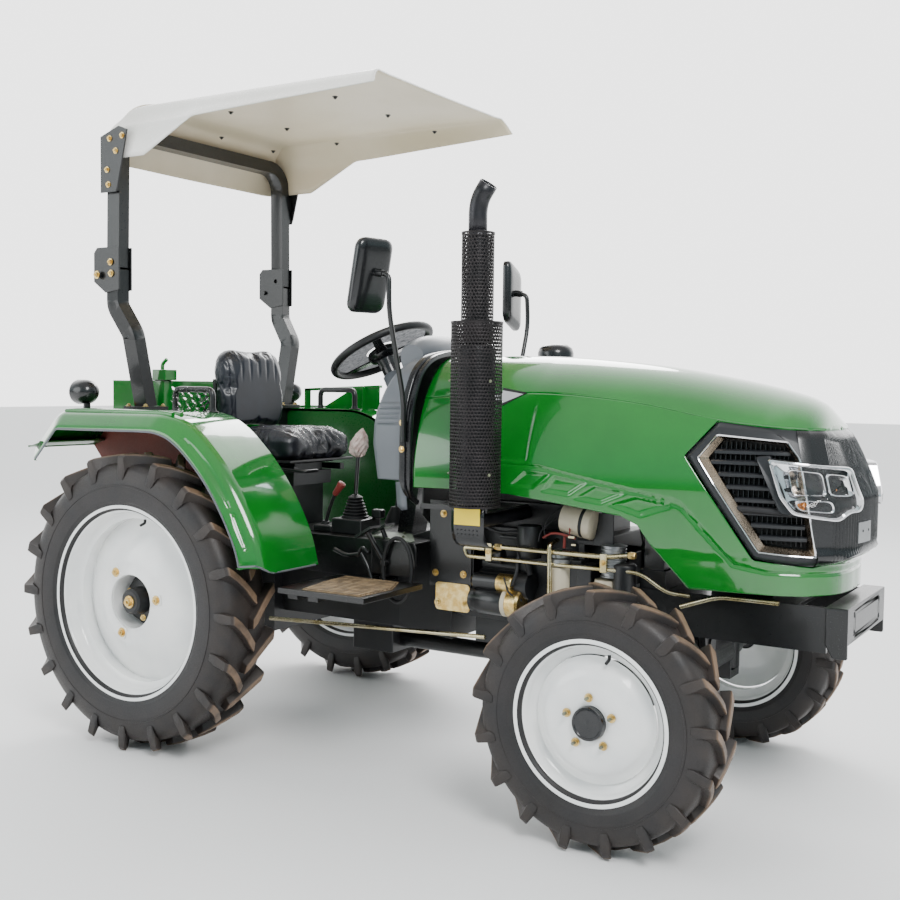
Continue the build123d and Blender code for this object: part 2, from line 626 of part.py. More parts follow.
with BuildPart() as arch:
    wide = arch_face(arch_x, arch_half + arch_proud, cowl_low_z + 8, arch_crease_half + arch_proud,
                     arch_crease_z + arch_proud, arch_top_z + arch_proud)
    narrow = arch_face(arch_x, arch_half - arch_band, cowl_low_z - 20, arch_crease_half - arch_band,
                       arch_crease_z - arch_band, arch_top_z - arch_band)
    extrude(wide, amount=arch_length, dir=(1, 0, 0))
    extrude(narrow, amount=arch_length, dir=(1, 0, 0), mode=Mode.SUBTRACT)
    for side in (-1, 1):
        ear = sorted((side * hinge_in_y, side * hinge_split_y))
        block((arch_x + arch_length, hinge_x), ear, (hinge_z - 4, hinge_z + 4))
        bar((hinge_x, ear[0], hinge_z), (hinge_x, ear[1], hinge_z), hinge_r)
        bore_r = hinge_pin_r + fit_gap
        bar((hinge_x, ear[0], hinge_z), (hinge_x, ear[1], hinge_z), bore_r, mode=Mode.SUBTRACT)
save(arch, "cowl_arch")

tilt = radians(wheel_hand_tilt)
hand_centre = Vector(wheel_hand_x, 0, wheel_hand_z)
hand_axis = Vector(-sin(tilt), 0, cos(tilt))
hand_plane = Plane(origin=hand_centre, x_dir=(0, 1, 0), z_dir=hand_axis)
hand_rim_r = 14.0
shaft_r = 11.0
column_r = 30.0
column_top = 45.0        # below the wheel's middle, along the column
column_length = 330.0
with BuildPart() as hand_wheel:
    with Locations(hand_plane):
        Torus(wheel_hand_r - hand_rim_r, hand_rim_r)
    with Locations(hand_plane.offset(-34)):
        Cylinder(36, 40, align=TO_TOP)
    with Locations(hand_plane.offset(-6)):
        with PolarLocations(98, 3, start_angle=90):
            Box(150, 30, 8)
    with Locations(hand_plane.offset(-column_top - 60)):
        Cylinder(shaft_r, 80, align=TO_TOP)
save(hand_wheel, "steering_wheel")

with BuildPart() as column:
    with Locations(hand_plane.offset(-column_top - column_length)):
        Cylinder(column_r, column_length, align=TO_TOP)
    with Locations(hand_plane.offset(-column_top - 70)):
        Cylinder(shaft_r + fit_gap, 71, align=TO_TOP, mode=Mode.SUBTRACT)
    # foot that carries the column on the deck's front end
    foot = hand_centre - hand_axis * (column_top + column_length - 20)
    side_plate([(foot.X - 20, foot.Z), (foot.X + 40, foot.Z + 10), (foot.X - 10, deck_z),
                (foot.X - 70, deck_z)], (-45, 45))
save(column, "steering_column")

# ---------------------------------------------------------------- mirrors
with BuildPart() as mirrors:
    for side in (-1, 1):
        base_y = side * (arch_half + arch_proud + 9)
        stalk = [(870, base_y, 1040), (870, base_y, 1170), (873, side * 448, 1440), (869, side * 443, 1552),
                 (815, side * 446, 1560)]
        bent_tube(stalk, [60, 60, 20], 8)
        for z in (1050, 1104):
            bar((870, side * (arch_half + arch_proud), z), (870, base_y + side * 8, z), 9)
        turn_in = radians(20)
        with Locations(Plane(origin=(802, side * 450, 1572), x_dir=(sin(turn_in), side * cos(turn_in), 0),
                             z_dir=(cos(turn_in), -side * sin(turn_in), 0))):
            Box(135, 225, 30)
    fillet(mirrors.edges().filter_by(GeomType.LINE).filter_by(lambda e: abs(e.length - 30) < 0.1), 28)
save(mirrors, "mirrors")

# ---------------------------------------------------------------- operator's place
with BuildPart() as deck:
    block((400, 690), (-deck_half, deck_half), (gearbox_top_z, deck_z))
    for side in (-1, 1):
        block((400, 690), sorted((side * (deck_half - 6), side * deck_half)), (585, deck_z))
        block((400, 690), sorted((side * gearbox_half, side * deck_half)), (585, 591))
save(deck, "console_deck")

board_top_z = 585.0
with BuildPart() as step_boards:
    for side in (-1, 1):
        span = sorted((side * (deck_half + 1), side * 590))
        block((560, 890), span, (board_top_z - 18, board_top_z))
        for x in (575, 655):
            arm = sorted((side * gearbox_half, side * 560))
            block((x, x + 40), arm, (board_top_z - 38, board_top_z - 18))
save(step_boards, "step_boards")

with BuildPart() as levers:
    # main gear lever on its bellows, and the range lever beside it
    # columns: x, y, foot height, knob height, lean forward, knob radius
    for x, y, boot, knob_z, lean, knob_r in (
        (545, -165, 85, 1010, 10, 24),
        (470, -175, 30, 880, 45, 13),
        (500, 150, 60, 900, 20, 18),
    ):
        with Locations((x, y, deck_z)):
            Cone(44, 20, boot, align=TO_TOP)
        bar((x, y, deck_z + boot - 5), (x + lean, y, knob_z), 7)
        with Locations((x + lean, y, knob_z)):
            Sphere(knob_r)
save(levers, "control_levers")

with BuildPart() as pedals:
    # columns: y of the arm, y of the pad
    for arm_y, pad_y in ((-215, -225), (-275, -310), (215, 240)):
        boss_y = pedal_boss_y if arm_y > 0 else -pedal_boss_y
        bar((pedal_x, arm_y, pedal_z), (700, pad_y, 742), 8)
        bar((pedal_x, boss_y, pedal_z), (pedal_x, arm_y + boss_y / 12, pedal_z), 10)
        with Locations(Plane(origin=(700, pad_y, 742), z_dir=(-0.5, 0, 0.87))):
            Box(70, 55, 8)
save(pedals, "pedals")

with BuildPart() as seat_frame:
    block((10, 230), (-110, 110), (850, 900))
    block((30, 210), (-80, 80), (900, seat_pan_z - 8))
    block((-60, 275), (-seat_half + 15, seat_half - 15), (seat_pan_z - 8, seat_pan_z))
    for y in (-120, 120):
        side_plate([(-60, seat_pan_z - 8), (-134, 1080), (-137, 1230), (-121.6, 1230), (-118.9, 1090),
                    (-48, seat_pan_z - 8)], (y - 15, y + 15))
save(seat_frame, "seat_frame")

with BuildPart() as cushion:
    block((-36, 290), (-seat_half, seat_half), (seat_pan_z + fit_gap, 1045))
    fillet(cushion.edges().filter_by(Axis.Z), 40)
    fillet(cushion.faces().sort_by(Axis.Z)[-1].edges(), 22)
save(cushion, "seat_cushion")

with BuildPart() as seat_back:
    with BuildSketch(Plane.XZ.offset(-185)) as face:
        Polygon((-48, 1050), (-118.5, 1090), (-123.5, 1340), (-110, 1356), (-60, 1352), (-40, 1330),
                (-30, 1075), align=None)
    extrude(face.sketch, amount=370)
    back_outline = [(150, 1040), (178, 1085), (185, 1160), (183, 1270), (165, 1325), (125, 1360)]
    far_half = [(-y, z) for y, z in reversed(back_outline)]
    front_plate([*back_outline, *far_half], (-200, 100), mode=Mode.INTERSECT)
save(seat_back, "seat_back")

# ---------------------------------------------------------------- fenders and what stands on them
fender_front_x, fender_front_z = 560.0, 640.0
fender_rear_x, fender_rear_z = -491.0, 985.0
fender_lip = 30.0


def fender_slab(y_span, inset, mode=Mode.ADD):
    """A slab with the fender's side outline, drawn in by the given distance."""
    with BuildSketch(Plane.XZ.offset(-y_span[1])) as face:
        with BuildLine():
            crown = ThreePointArc((fender_front_x, fender_front_z), (455, 868), (180, fender_top_z))
            Polyline(crown @ 1, (-365, fender_top_z), (fender_rear_x, fender_rear_z), (fender_rear_x, 300),
                     (fender_front_x, 300), crown @ 0)
        make_face()
        if inset:
            offset(amount=-inset, kind=Kind.INTERSECTION)
    extrude(face.sketch, amount=y_span[1] - y_span[0], mode=mode)


for name, side in (("right", -1), ("left", 1)):
    across = sorted((side * fender_inner_y, side * fender_outer_y))
    past_wall = sorted((side * (fender_inner_y + fender_wall), side * (fender_outer_y + 1)))
    behind_lip = sorted((side * (fender_inner_y + fender_wall), side * (fender_outer_y - fender_wall)))
    with BuildPart() as fender:
        fender_slab(across, 0)
        fender_slab(behind_lip, fender_wall, mode=Mode.SUBTRACT)
        fender_slab(past_wall, fender_lip, mode=Mode.SUBTRACT)
        # the wall's lower edge clears the axle housing and the platform
        side_plate([(600, fender_front_z), (520, 620), (250, 600), (120, 575), (-120, 575), (-250, 640),
                    (-330, 800), (fender_rear_x - 10, fender_rear_z), (fender_rear_x - 10, 200), (600, 200)],
                   (-800, 800), mode=Mode.SUBTRACT)
    save(fender, f"fender_{name}")

lamp_x, lamp_y, lamp_z = -330.0, 560.0, 1179.0
with BuildPart() as fender_lamps:
    for side in (-1, 1):
        with Locations((lamp_x, side * lamp_y, lamp_z)):
            Sphere(42)
        bar((lamp_x - 45, side * lamp_y, lamp_z), (lamp_x, side * lamp_y, lamp_z), 42)
        bar((lamp_x, side * lamp_y, fender_top_z), (lamp_x, side * lamp_y, lamp_z - 30), 14)
save(fender_lamps, "fender_lamps")

with BuildPart() as grab_loops:
    for side in (-1, 1):
        y = side * (fender_inner_y + 22)
        loop = [(-55, y, fender_top_z), (-55, y, 1196), (118, y, 1196), (118, y, fender_top_z)]
        bent_tube(loop, [24, 24], 9)
save(grab_loops, "grab_loops")

with BuildPart() as rear_box:
    block((-470, -345), (-315, 315), (1010, 1222))
    block((-345, -190), (-315, -285), (1010, 1050))
    block((-345, -190), (285, 315), (1010, 1050))
    for side in (-1, 1):
        block((-262, -206), sorted((side * 315, side * 325)), (1010, 1050))
save(rear_box, "rear_box")

# ---------------------------------------------------------------- roll bar
cheek_wall = 6.0
cheek_outline = [(-388, 1570), (-388, 1672), (-372, 1690), (-262, 1690), (-262, 1540), (-330, 1530)]
riser_y = 353.0
with BuildPart() as posts:
    for side in (-1, 1):
        foot = (post_foot_x, side * post_foot_y, fender_top_z + 12)
        knee = (post_knee_x, side * post_knee_y, post_knee_z)
        head = (post_x, side * post_y, post_split_z - 130)
        top = (post_x, side * post_y, post_split_z - 3)
        with BuildLine() as way:
            FilletPolyline(foot, knee, head, top, radius=[60, 60])
        with BuildSketch(Plane(origin=foot, x_dir=(1, 0, 0), z_dir=Vector(*knee) - Vector(*foot))) as tube:
            Rectangle(post_depth, post_width)
        sweep(tube.sketch, path=way.line)
        block((-290, -180), sorted((side * 318, side * 430)), (fender_top_z, fender_top_z + 14))
        block((-262, -206), sorted((side * (riser_y - 28), side * (riser_y + 28))), (559, fender_top_z))
        block((-262, 60), sorted((side * (riser_y - 28), side * (riser_y + 28))), (559, 589))
        for inner in (post_width / 2, -post_width / 2 - cheek_wall):
            y = side * post_y + inner
            side_plate(cheek_outline, (y, y + cheek_wall))
        for x, z in ((fold_x, fold_z), (post_x, 1640)):
            bar((x, side * (post_y - 40), z), (x, side * (post_y + 40), z), fold_pin_r + fit_gap,
                mode=Mode.SUBTRACT)
save(posts, "rops_posts")

cheek_gap = 1.6
lug_r = 22.0
plate_in_y = canopy_half + fit_gap
with BuildPart() as hoop:
    corner = (post_x, hoop_y, hoop_bar_z)
    start = (post_x, post_y, post_split_z + 4)
    with BuildLine() as way:
        FilletPolyline(start, corner, (post_x, -hoop_y, hoop_bar_z), (post_x, -post_y, post_split_z + 4),
                       radius=[hoop_bend_r, hoop_bend_r])
    with BuildSketch(Plane(origin=start, x_dir=(1, 0, 0), z_dir=Vector(*corner) - Vector(*start))) as tube:
        Rectangle(post_depth, post_width - 2 * cheek_gap)
    sweep(tube.sketch, path=way.line)
    for side in (-1, 1):
        lug_half = post_width / 2 - cheek_gap
        span = sorted((side * (post_y - lug_half), side * (post_y + lug_half)))
        bar((fold_x, span[0], fold_z), (fold_x, span[1], fold_z), lug_r)
        side_plate([(fold_x - lug_r, fold_z), (fold_x + lug_r, fold_z), (fold_x + 28, 1640),
                    (fold_x + 28, 1670), (fold_x - lug_r, 1650)], span)
        bar((fold_x, side * (post_y - 42), fold_z), (fold_x, side * (post_y + 42), fold_z), fold_pin_r)
        # gusset plate outside the canopy's skirt, and the packing below the skirt
        plate = sorted((side * plate_in_y, side * (plate_in_y + 6)))
        gusset = from_top([(-345, 314), (-345, 119), (-255, 89), (-215, 104), (-262, 294), (-270, 314)])
        side_plate(gusset, plate)
        packing = sorted((side * 455, side * (plate_in_y + 6)))
        block((-330, -270), packing, (canopy_top_z - 309, canopy_top_z - 204))
save(hoop, "rops_hoop")

# ---------------------------------------------------------------- canopy
# outlines as x or y, and the fall from the canopy's top
canopy_side = from_top([(801, 52), (782, 0), (-270, 0), (-378, 69), (-378, 196), (-153, 196), (73, 84)])
canopy_front = from_top([(379, 0), (438, 48), (466, 89), (canopy_half, 134), (canopy_half, 294)])
canopy_hollow_side = from_top([(830, 394), (830, 47), (801 - canopy_wall, 47), (778, canopy_wall),
                               (-268, canopy_wall), (-373, 72), (-373, 394)])
with BuildPart() as canopy_hollow:
    side_plate(canopy_hollow_side, (-500, 500))
    inner = [(y - canopy_wall, z - (canopy_wall if z == canopy_top_z else 2)) for y, z in canopy_front[:-1]]
    inner.append((canopy_half - canopy_wall, canopy_top_z - 404))
    front_plate([*inner, *[(-y, z) for y, z in reversed(inner)]], (-400, 850), mode=Mode.INTERSECT)
with BuildPart() as canopy:
    side_plate(canopy_side, (-500, 500))
    left_half = [(-y, z) for y, z in reversed(canopy_front)]
    front_plate([*canopy_front, *left_half], (-400, 850), mode=Mode.INTERSECT)
    add(canopy_hollow.part, mode=Mode.SUBTRACT)
save(canopy, "canopy")

# ---------------------------------------------------------------- three-point hitch
droop = radians(hitch_droop)
back = Vector(-cos(droop), 0, -sin(droop))
across_link = Vector(-sin(droop), 0, cos(droop))
rock = Vector(rockshaft_x, 0, rockshaft_z)
pivot = Vector(rockshaft_x, 0, link_pivot_z)
arm_end = rock + back * lift_arm_length
link_end = pivot + back * lower_link_length
rod_low = pivot + back * lift_arm_length
arm_y, link_y = 190.0, 211.0
rod_y = 236.0


def at(point, y):
    return (point.X, y, point.Z)


def tapered(start, end, half_start, half_end, y_span):
    """A flat arm between two eyes, each with its own half height."""
    corners = (start + across_link * half_start, start - across_link * half_start,
               end - across_link * half_end, end + across_link * half_end)
    side_plate([(p.X, p.Z) for p in corners], y_span)
    for centre, radius in ((start, half_start), (end, half_end)):
        bar(at(centre, y_span[0]), at(centre, y_span[1]), radius)


with BuildPart() as lift_arms:
    bar(at(rock, -arm_y - 10), at(rock, arm_y + 10), rockshaft_r)
    for side in (-1, 1):
        tapered(rock, arm_end, 40, 20, sorted((side * (arm_y - 10), side * (arm_y + 10))))
        ends = sorted((side * arm_y, side * (rod_y + 14)))
        bar(at(arm_end, ends[0]), at(arm_end, ends[1]), hitch_pin_r)
save(lift_arms, "lift_arms")

with BuildPart() as lower_links:
    for side in (-1, 1):
        y = side * link_y
        tapered(pivot, link_end, 24, 24, (y - 8, y + 8))
        bar(at(link_end, y - 17), at(link_end, y + 17), 26)
        bar(at(link_end, y - 20), at(link_end, y + 20), 11.1, mode=Mode.SUBTRACT)
        bar(at(pivot, y - 28), at(pivot, y + 28), hitch_pin_r)
        ends = sorted((side * link_y, side * (rod_y + 14)))
        bar(at(rod_low, ends[0]), at(rod_low, ends[1]), hitch_pin_r)
save(lower_links, "lower_links")

with BuildPart() as lift_rods:
    for side in (-1, 1):
        y = side * rod_y
        bar(at(rod_low, y), at(arm_end, y), 12)
        bar(at(rod_low + Vector(0, 0, 120), y), at(arm_end - Vector(0, 0, 120), y), 19)
        for centre in (rod_low, arm_end):
            bar(at(centre, y - 10), at(centre, y + 10), 22)
            bar(at(centre, y - 12), at(centre, y + 12), hitch_pin_r + fit_gap, mode=Mode.SUBTRACT)
save(lift_rods, "lift_rods")
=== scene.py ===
import math

import bmesh
import bpy
import numpy as np
from mathutils import Matrix


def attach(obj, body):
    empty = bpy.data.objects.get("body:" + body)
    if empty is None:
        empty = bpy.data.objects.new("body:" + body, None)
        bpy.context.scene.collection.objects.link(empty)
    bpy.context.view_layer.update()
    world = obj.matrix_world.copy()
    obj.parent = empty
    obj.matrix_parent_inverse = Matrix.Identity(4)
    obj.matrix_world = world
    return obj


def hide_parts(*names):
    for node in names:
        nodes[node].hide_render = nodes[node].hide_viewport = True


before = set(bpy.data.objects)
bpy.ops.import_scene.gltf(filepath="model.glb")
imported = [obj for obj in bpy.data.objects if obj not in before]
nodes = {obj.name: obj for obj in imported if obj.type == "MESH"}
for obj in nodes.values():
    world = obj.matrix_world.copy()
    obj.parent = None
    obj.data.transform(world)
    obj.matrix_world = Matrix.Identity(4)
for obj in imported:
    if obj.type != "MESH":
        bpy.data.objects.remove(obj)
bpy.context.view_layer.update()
print("stage: frame loaded")


# colours are sRGB hex, and this turns them to linear
def toLinear(hexColour):
    raw = np.array([int(hexColour[i:i + 2], 16) for i in (1, 3, 5)]) / 255
    linear = np.where(raw <= 0.04045, raw / 12.92, ((raw + 0.055) / 1.055) ** 2.4)
    return (*linear.tolist(), 1.0)


# adds one node: settings are attributes or input values, links are inputs fed by other sockets
def addNode(tree, kind, settings, links=None):
    node = tree.nodes.new(kind)
    for key, value in settings.items():
        if isinstance(key, int) or key in node.inputs:
            node.inputs[key].default_value = value
        else:
            setattr(node, key, value)
    for key, socket in (links or {}).items():
        tree.links.new(socket, node.inputs[key])
    return node


# One finish: a base colour, clouded with a second one where it has one, a fine grain in
# roughness and bump, and dust that settles on what faces up. Sizes are in millimetres.
def makeFinish(name, look):
    material = bpy.data.materials.new(name)
    material.use_nodes = True
    tree = material.node_tree
    tree.nodes.clear()
    place = addNode(tree, "ShaderNodeTexCoord", {}).outputs["Object"]
    shader = addNode(tree, "ShaderNodeBsdfPrincipled", {
        "Metallic": look.get("metallic", 0.0), "IOR": look.get("ior", 1.5),
        "Coat Weight": look.get("coat", 0.0), "Coat Roughness": look.get("coatRough", 0.05),
        "Transmission Weight": look.get("clear", 0.0), "Base Color": toLinear(look["hex"]),
    })
    if "second" in look:
        cloud = addNode(tree, "ShaderNodeTexNoise", {"Scale": 1000 / look.get("cloudMm", 180), "Detail": 5.0},
                        {"Vector": place})
        patch = addNode(tree, "ShaderNodeMapRange", {"From Min": 0.38, "From Max": 0.66}, {0: cloud.outputs["Fac"]})
        colour = addNode(tree, "ShaderNodeMix",
                         {"data_type": "RGBA", 6: toLinear(look["hex"]), 7: toLinear(look["second"])},
                         {0: patch.outputs[0]}).outputs[2]
        tree.links.new(colour, shader.inputs["Base Color"])
    grain = addNode(tree, "ShaderNodeTexNoise", {"Scale": 1000 / look.get("grainMm", 3), "Detail": 4.0},
                    {"Vector": place})
    if "dust" in look:
        facing = addNode(tree, "ShaderNodeNewGeometry", {}).outputs["Normal"]
        height = addNode(tree, "ShaderNodeSeparateXYZ", {}, {0: facing}).outputs["Z"]
        speckle = addNode(tree, "ShaderNodeMath", {"operation": "MULTIPLY"},
                          {0: height, 1: patch.outputs[0]}).outputs[0]
        amount = addNode(tree, "ShaderNodeMapRange", {"From Min": 0.15, "From Max": 0.9,
                                                      "To Max": look.get("dustAmount", 0.5)}, {0: speckle})
        dusty = addNode(tree, "ShaderNodeMix", {"data_type": "RGBA", 7: toLinear(look["dust"])},
                        {0: amount.outputs[0], 6: colour}).outputs[2]
        tree.links.new(dusty, shader.inputs["Base Color"])
    low, high = look.get("rough", (0.3, 0.4))
    rough = addNode(tree, "ShaderNodeMapRange", {"From Min": 0.3, "From Max": 0.7, "To Min": low, "To Max": high},
                    {0: grain.outputs["Fac"]})
    bump = addNode(tree, "ShaderNodeBump", {"Strength": look.get("bump", 0.15),
                                            "Distance": look.get("bumpMm", 0.2) / 1000},
                   {"Height": grain.outputs["Fac"]})
    tree.links.new(rough.outputs[0], shader.inputs["Roughness"])
    tree.links.new(bump.outputs["Normal"], shader.inputs["Normal"])
    out = addNode(tree, "ShaderNodeOutputMaterial", {}, {"Surface": shader.outputs[0]})
    out.label = name
    return material


finishes = {
    # alkyd enamel, sprayed and baked: wet gloss over a deep green, with a trace of orange peel
    "greenEnamel": dict(slot="green_paint", hex="#06741f", second="#05681b", rough=(0.10, 0.16), coat=1.0,
                        coatRough=0.03, grainMm=6, bump=0.04, bumpMm=0.3, cloudMm=300),
    # the same enamel darkened as painted shade, for walls in the shade of the frame; duller with overspray, and dust
    "greenEnamelShadeAndDust": dict(slot="green_paint", hex="#075c1c", second="#084f19", rough=(0.22, 0.4), coat=0.5,
                             coatRough=0.12, grainMm=5, bump=0.08, bumpMm=0.3, cloudMm=160, dust="#8d8a63",
                             dustAmount=0.35),
    # chassis enamel, sprayed over castings and plate: black, half gloss, dusty on top
    "blackEnamel": dict(slot="black_paint", hex="#08090a", second="#0f1012", rough=(0.26, 0.42), coat=0.25,
                        coatRough=0.12, grainMm=4, bump=0.12, bumpMm=0.4, dust="#5b544a", dustAmount=0.10),
    # sand-cast iron under black enamel: coarse skin that breaks up the highlights
    "castIron": dict(slot="cast_iron", hex="#0b0c0e", second="#131417", rough=(0.32, 0.6), coat=0.15, coatRough=0.2,
                     grainMm=2.5, bump=0.5, bumpMm=0.8, dust="#4f483e", dustAmount=0.14),
    # white enamel on pressed steel wheels: bright and smooth, a little grey in the hollows
    "whiteEnamel": dict(slot="white_paint", hex="#f4f4f2", second="#e9eaea", rough=(0.15, 0.25), coat=0.6,
                        coatRough=0.06, grainMm=8, bump=0.05, bumpMm=0.3, cloudMm=120),
    # yellow-passivated zinc plate on steel: pale gold with blotches
    "goldZinc": dict(slot="steel", hex="#c9a763", second="#e0c98f", metallic=1.0, rough=(0.22, 0.4), grainMm=2,
                     cloudMm=18, bump=0.1, bumpMm=0.1),
    # chromed plastic trim: near mirror with a trace of waviness
    "chromePlate": dict(slot="lamp_lens", hex="#e6e6e8", second="#d9dadd", metallic=1.0, rough=(0.04, 0.1), grainMm=12,
                        bump=0.03, bumpMm=0.2),
    # the same chrome over a textured slope, which blurs what it mirrors; its warm brown is a painted reflection of the
    # ground
    "satinChromePaintedGround": dict(slot="lamp_lens", hex="#b3a491", second="#9c8d7b", metallic=1.0, rough=(0.22, 0.34),
                        grainMm=4, bump=0.08, bumpMm=0.2, cloudMm=60),
    # aluminised lamp reflector: bright and slightly diffuse
    "lampReflector": dict(slot="lamp_lens", hex="#f4f4f6", second="#e9e9ec", metallic=1.0, rough=(0.10, 0.2),
                          grainMm=5, bump=0.05, bumpMm=0.2),
    # drawn steel hydraulic pipe, zinc plated: silver to straw
    "zincPipe": dict(slot="steel", hex="#cfc6a8", second="#b5a677", metallic=1.0, rough=(0.18, 0.32), grainMm=3,
                     cloudMm=60, bump=0.08, bumpMm=0.1),
    # injection-moulded ABS, mid grey: fine spark-eroded grain, soft sheen
    "greyAbs": dict(slot="grey_plastic", hex="#62666c", second="#5b5f65", rough=(0.34, 0.46), grainMm=1.2, bump=0.12,
                    bumpMm=0.12, cloudMm=260),
    # moulded ABS in black, left from a polished tool: smooth half gloss
    "blackAbs": dict(slot="black_plastic", hex="#0d0e10", second="#121317", rough=(0.2, 0.3), coat=0.3, coatRough=0.1,
                     grainMm=2, bump=0.05, bumpMm=0.1),
    # moulded ABS in charcoal for louvres and mask: grained and matt
    "charcoalAbs": dict(slot="black_plastic", hex="#1b1d21", second="#17191d", rough=(0.36, 0.48), grainMm=1.5,
                        bump=0.15, bumpMm=0.15),
    # EPDM rubber seals, bellows and hoses: deep black, dull
    "blackRubber": dict(slot="black_plastic", hex="#101011", second="#17171a", rough=(0.5, 0.7), grainMm=1.5,
                        bump=0.2, bumpMm=0.2),
    # polyurethane-skinned foam of the steering wheel rim: leathery black grain
    "wheelRimFoam": dict(slot="black_plastic", hex="#0e0e10", second="#161619", rough=(0.38, 0.55), grainMm=1.6,
                         bump=0.5, bumpMm=0.4),
    # glass-fibre canopy outside: white gel coat
    "whiteGelCoat": dict(slot="canopy_shell", hex="#f3f1ec", second="#ece9e2", rough=(0.18, 0.3), coat=0.4,
                         coatRough=0.1, grainMm=9, bump=0.06, bumpMm=0.4, cloudMm=400),
    # the canopy's underside: the bare laminate's cream, satin
    "creamLaminate": dict(slot="canopy_shell", hex="#d9cbb2", second="#cfc0a4", rough=(0.32, 0.45), grainMm=5,
                          bump=0.15, bumpMm=0.3, cloudMm=300),
    # float glass, silvered at the back
    "mirrorGlass": dict(slot="steel", hex="#c9d2da", metallic=1.0, rough=(0.02, 0.04), grainMm=20, bump=0.01,
                        bumpMm=0.1),
    # red oxide primer left bare inside the wheel arches: dull brown red
    "redPrimer": dict(slot="green_paint", hex="#6e3026", second="#5b2c22", rough=(0.6, 0.8), grainMm=4, bump=0.2,
                      bumpMm=0.3, dust="#8c7760", dustAmount=0.5),
    # die-cast aluminium, as cast: pale grey and slightly rough
    "castAluminium": dict(slot="steel", hex="#a9aaab", second="#8f9193", metallic=1.0, rough=(0.35, 0.55), grainMm=1.8,
                          bump=0.3, bumpMm=0.3),
    # cream stove enamel on the air filter's canister
    "creamEnamel": dict(slot="steel", hex="#c9bfa9", second="#b9ae97", rough=(0.3, 0.42), grainMm=4, bump=0.06,
                        bumpMm=0.2),
    # painted sheet plate, bare signal yellow
    "yellowPlate": dict(slot="black_paint", hex="#f2d21c", rough=(0.35, 0.45), grainMm=4, bump=0.05, bumpMm=0.1),
    # natural rubber grips dipped red
    "redGrip": dict(slot="black_plastic", hex="#7c2a24", second="#6a2420", rough=(0.45, 0.6), grainMm=2, bump=0.2,
                    bumpMm=0.2),
    # phosphated steel bolts and knurled washers
    "greyPhosphate": dict(slot="steel", hex="#8c9078", second="#76796a", metallic=0.7, rough=(0.4, 0.55), grainMm=1.5,
                          bump=0.2, bumpMm=0.2),
    # polycarbonate lamp cover: water-clear with a hard gloss
    "clearPolycarbonate": dict(slot="lamp_lens", hex="#ffffff", clear=1.0, ior=1.25, rough=(0.01, 0.03), grainMm=30,
                               bump=0.01, bumpMm=0.1),
    # heat-browned sheet steel of the exhaust guard, once painted: dark, dull, brownish grey
    "guardSheet": dict(slot="exhaust_black", hex="#1d1a1b", second="#2a2526", metallic=0.5, rough=(0.38, 0.55),
                       grainMm=2, cloudMm=40, bump=0.2, bumpMm=0.2),
    # muffler steel under heat-proof black: satin, greyer where it is hot
    "mufflerSteel": dict(slot="exhaust_black", hex="#17171a", second="#26252a", metallic=0.3, rough=(0.28, 0.42),
                         grainMm=3, cloudMm=60, bump=0.12, bumpMm=0.2),
    # polyethylene wrapping film: clear, crumpled, with hard little highlights
    "wrappingFilm": dict(slot="black_plastic", hex="#ffffff", clear=1.0, ior=1.16, rough=(0.03, 0.14), grainMm=9,
                         bump=1.0, bumpMm=3.0),
    # the same film stretched over the steering wheel, where it looks smoky against the dark cab: its dark grey is
    # painted shade on a clear film
    "smokyFilm": dict(slot="black_plastic", hex="#46484b", second="#26272a", clear=0.35, ior=1.2, rough=(0.3, 0.5),
                      grainMm=5, bump=1.0, bumpMm=2.0, cloudMm=9),
    # the same film bunched in many layers over a knob: milky, faintly pink
    "bunchedFilm": dict(slot="black_plastic", hex="#e3d3cb", second="#c9aca4", clear=0.25, ior=1.3, rough=(0.15, 0.3),
                        grainMm=7, bump=0.9, bumpMm=2.5, cloudMm=20),
    # vinyl-coated seat cover: dark navy, soft gloss, fine leather grain
    "navyVinyl": dict(slot="seat_vinyl", hex="#14161f", second="#1a1d28", rough=(0.3, 0.42), coat=0.2, coatRough=0.2,
                      grainMm=2.2, bump=0.25, bumpMm=0.25, cloudMm=80),
    # orange acrylic of the turn signal's bulb cover
    "amberAcrylic": dict(slot="lamp_lens", hex="#e8891c", rough=(0.12, 0.2), coat=0.6, grainMm=4, bump=0.1, bumpMm=0.2),
    # grey-green floor paint on a cover plate: satin, dusty
    "grittyPaint": dict(slot="black_paint", hex="#7d8a76", second="#6d7a66", rough=(0.4, 0.6), grainMm=3, bump=0.2,
                        bumpMm=0.3, cloudMm=60),
    # sand-strewn anti-slip plate of the step: brown grit in black paint
    "grittyStep": dict(slot="black_paint", hex="#6a5842", second="#806b4f", rough=(0.6, 0.85), grainMm=4, cloudMm=30,
                       bump=0.6, bumpMm=0.8, dust="#b59a74", dustAmount=0.5),
}
finish = {name: makeFinish(name, look) for name, look in finishes.items()}
print("stage: finishes mixed")


# joins shapes into one, shifting each one's face numbers by the points before it
def join(shapes):
    points, faces, start = [], [], 0
    for some, quads in shapes:
        points.append(np.asarray(some, float))
        faces += [[start + i for i in face] for face in quads]
        start += len(some)
    return np.vstack(points), faces


# a surface over a grid of rows and columns: quads between neighbours, wrapped where it is closed
def gridShape(grid, closedRows=False, closedColumns=False, capRows=False):
    rows, columns = grid.shape[:2]
    r = np.arange(rows if closedRows else rows - 1)
    c = np.arange(columns if closedColumns else columns - 1)
    a = (r[:, None] * columns + c[None, :]).ravel()
    b = (r[:, None] * columns + (c[None, :] + 1) % columns).ravel()
    d = (((r[:, None] + 1) % rows) * columns + c[None, :]).ravel()
    e = (((r[:, None] + 1) % rows) * columns + (c[None, :] + 1) % columns).ravel()
    faces = np.stack([a, b, e, d], 1).tolist()
    if capRows:
        faces.append(list(range(columns))[::-1])
        faces.append(list(range((rows - 1) * columns, rows * columns)))
    return grid.reshape(-1, 3), faces


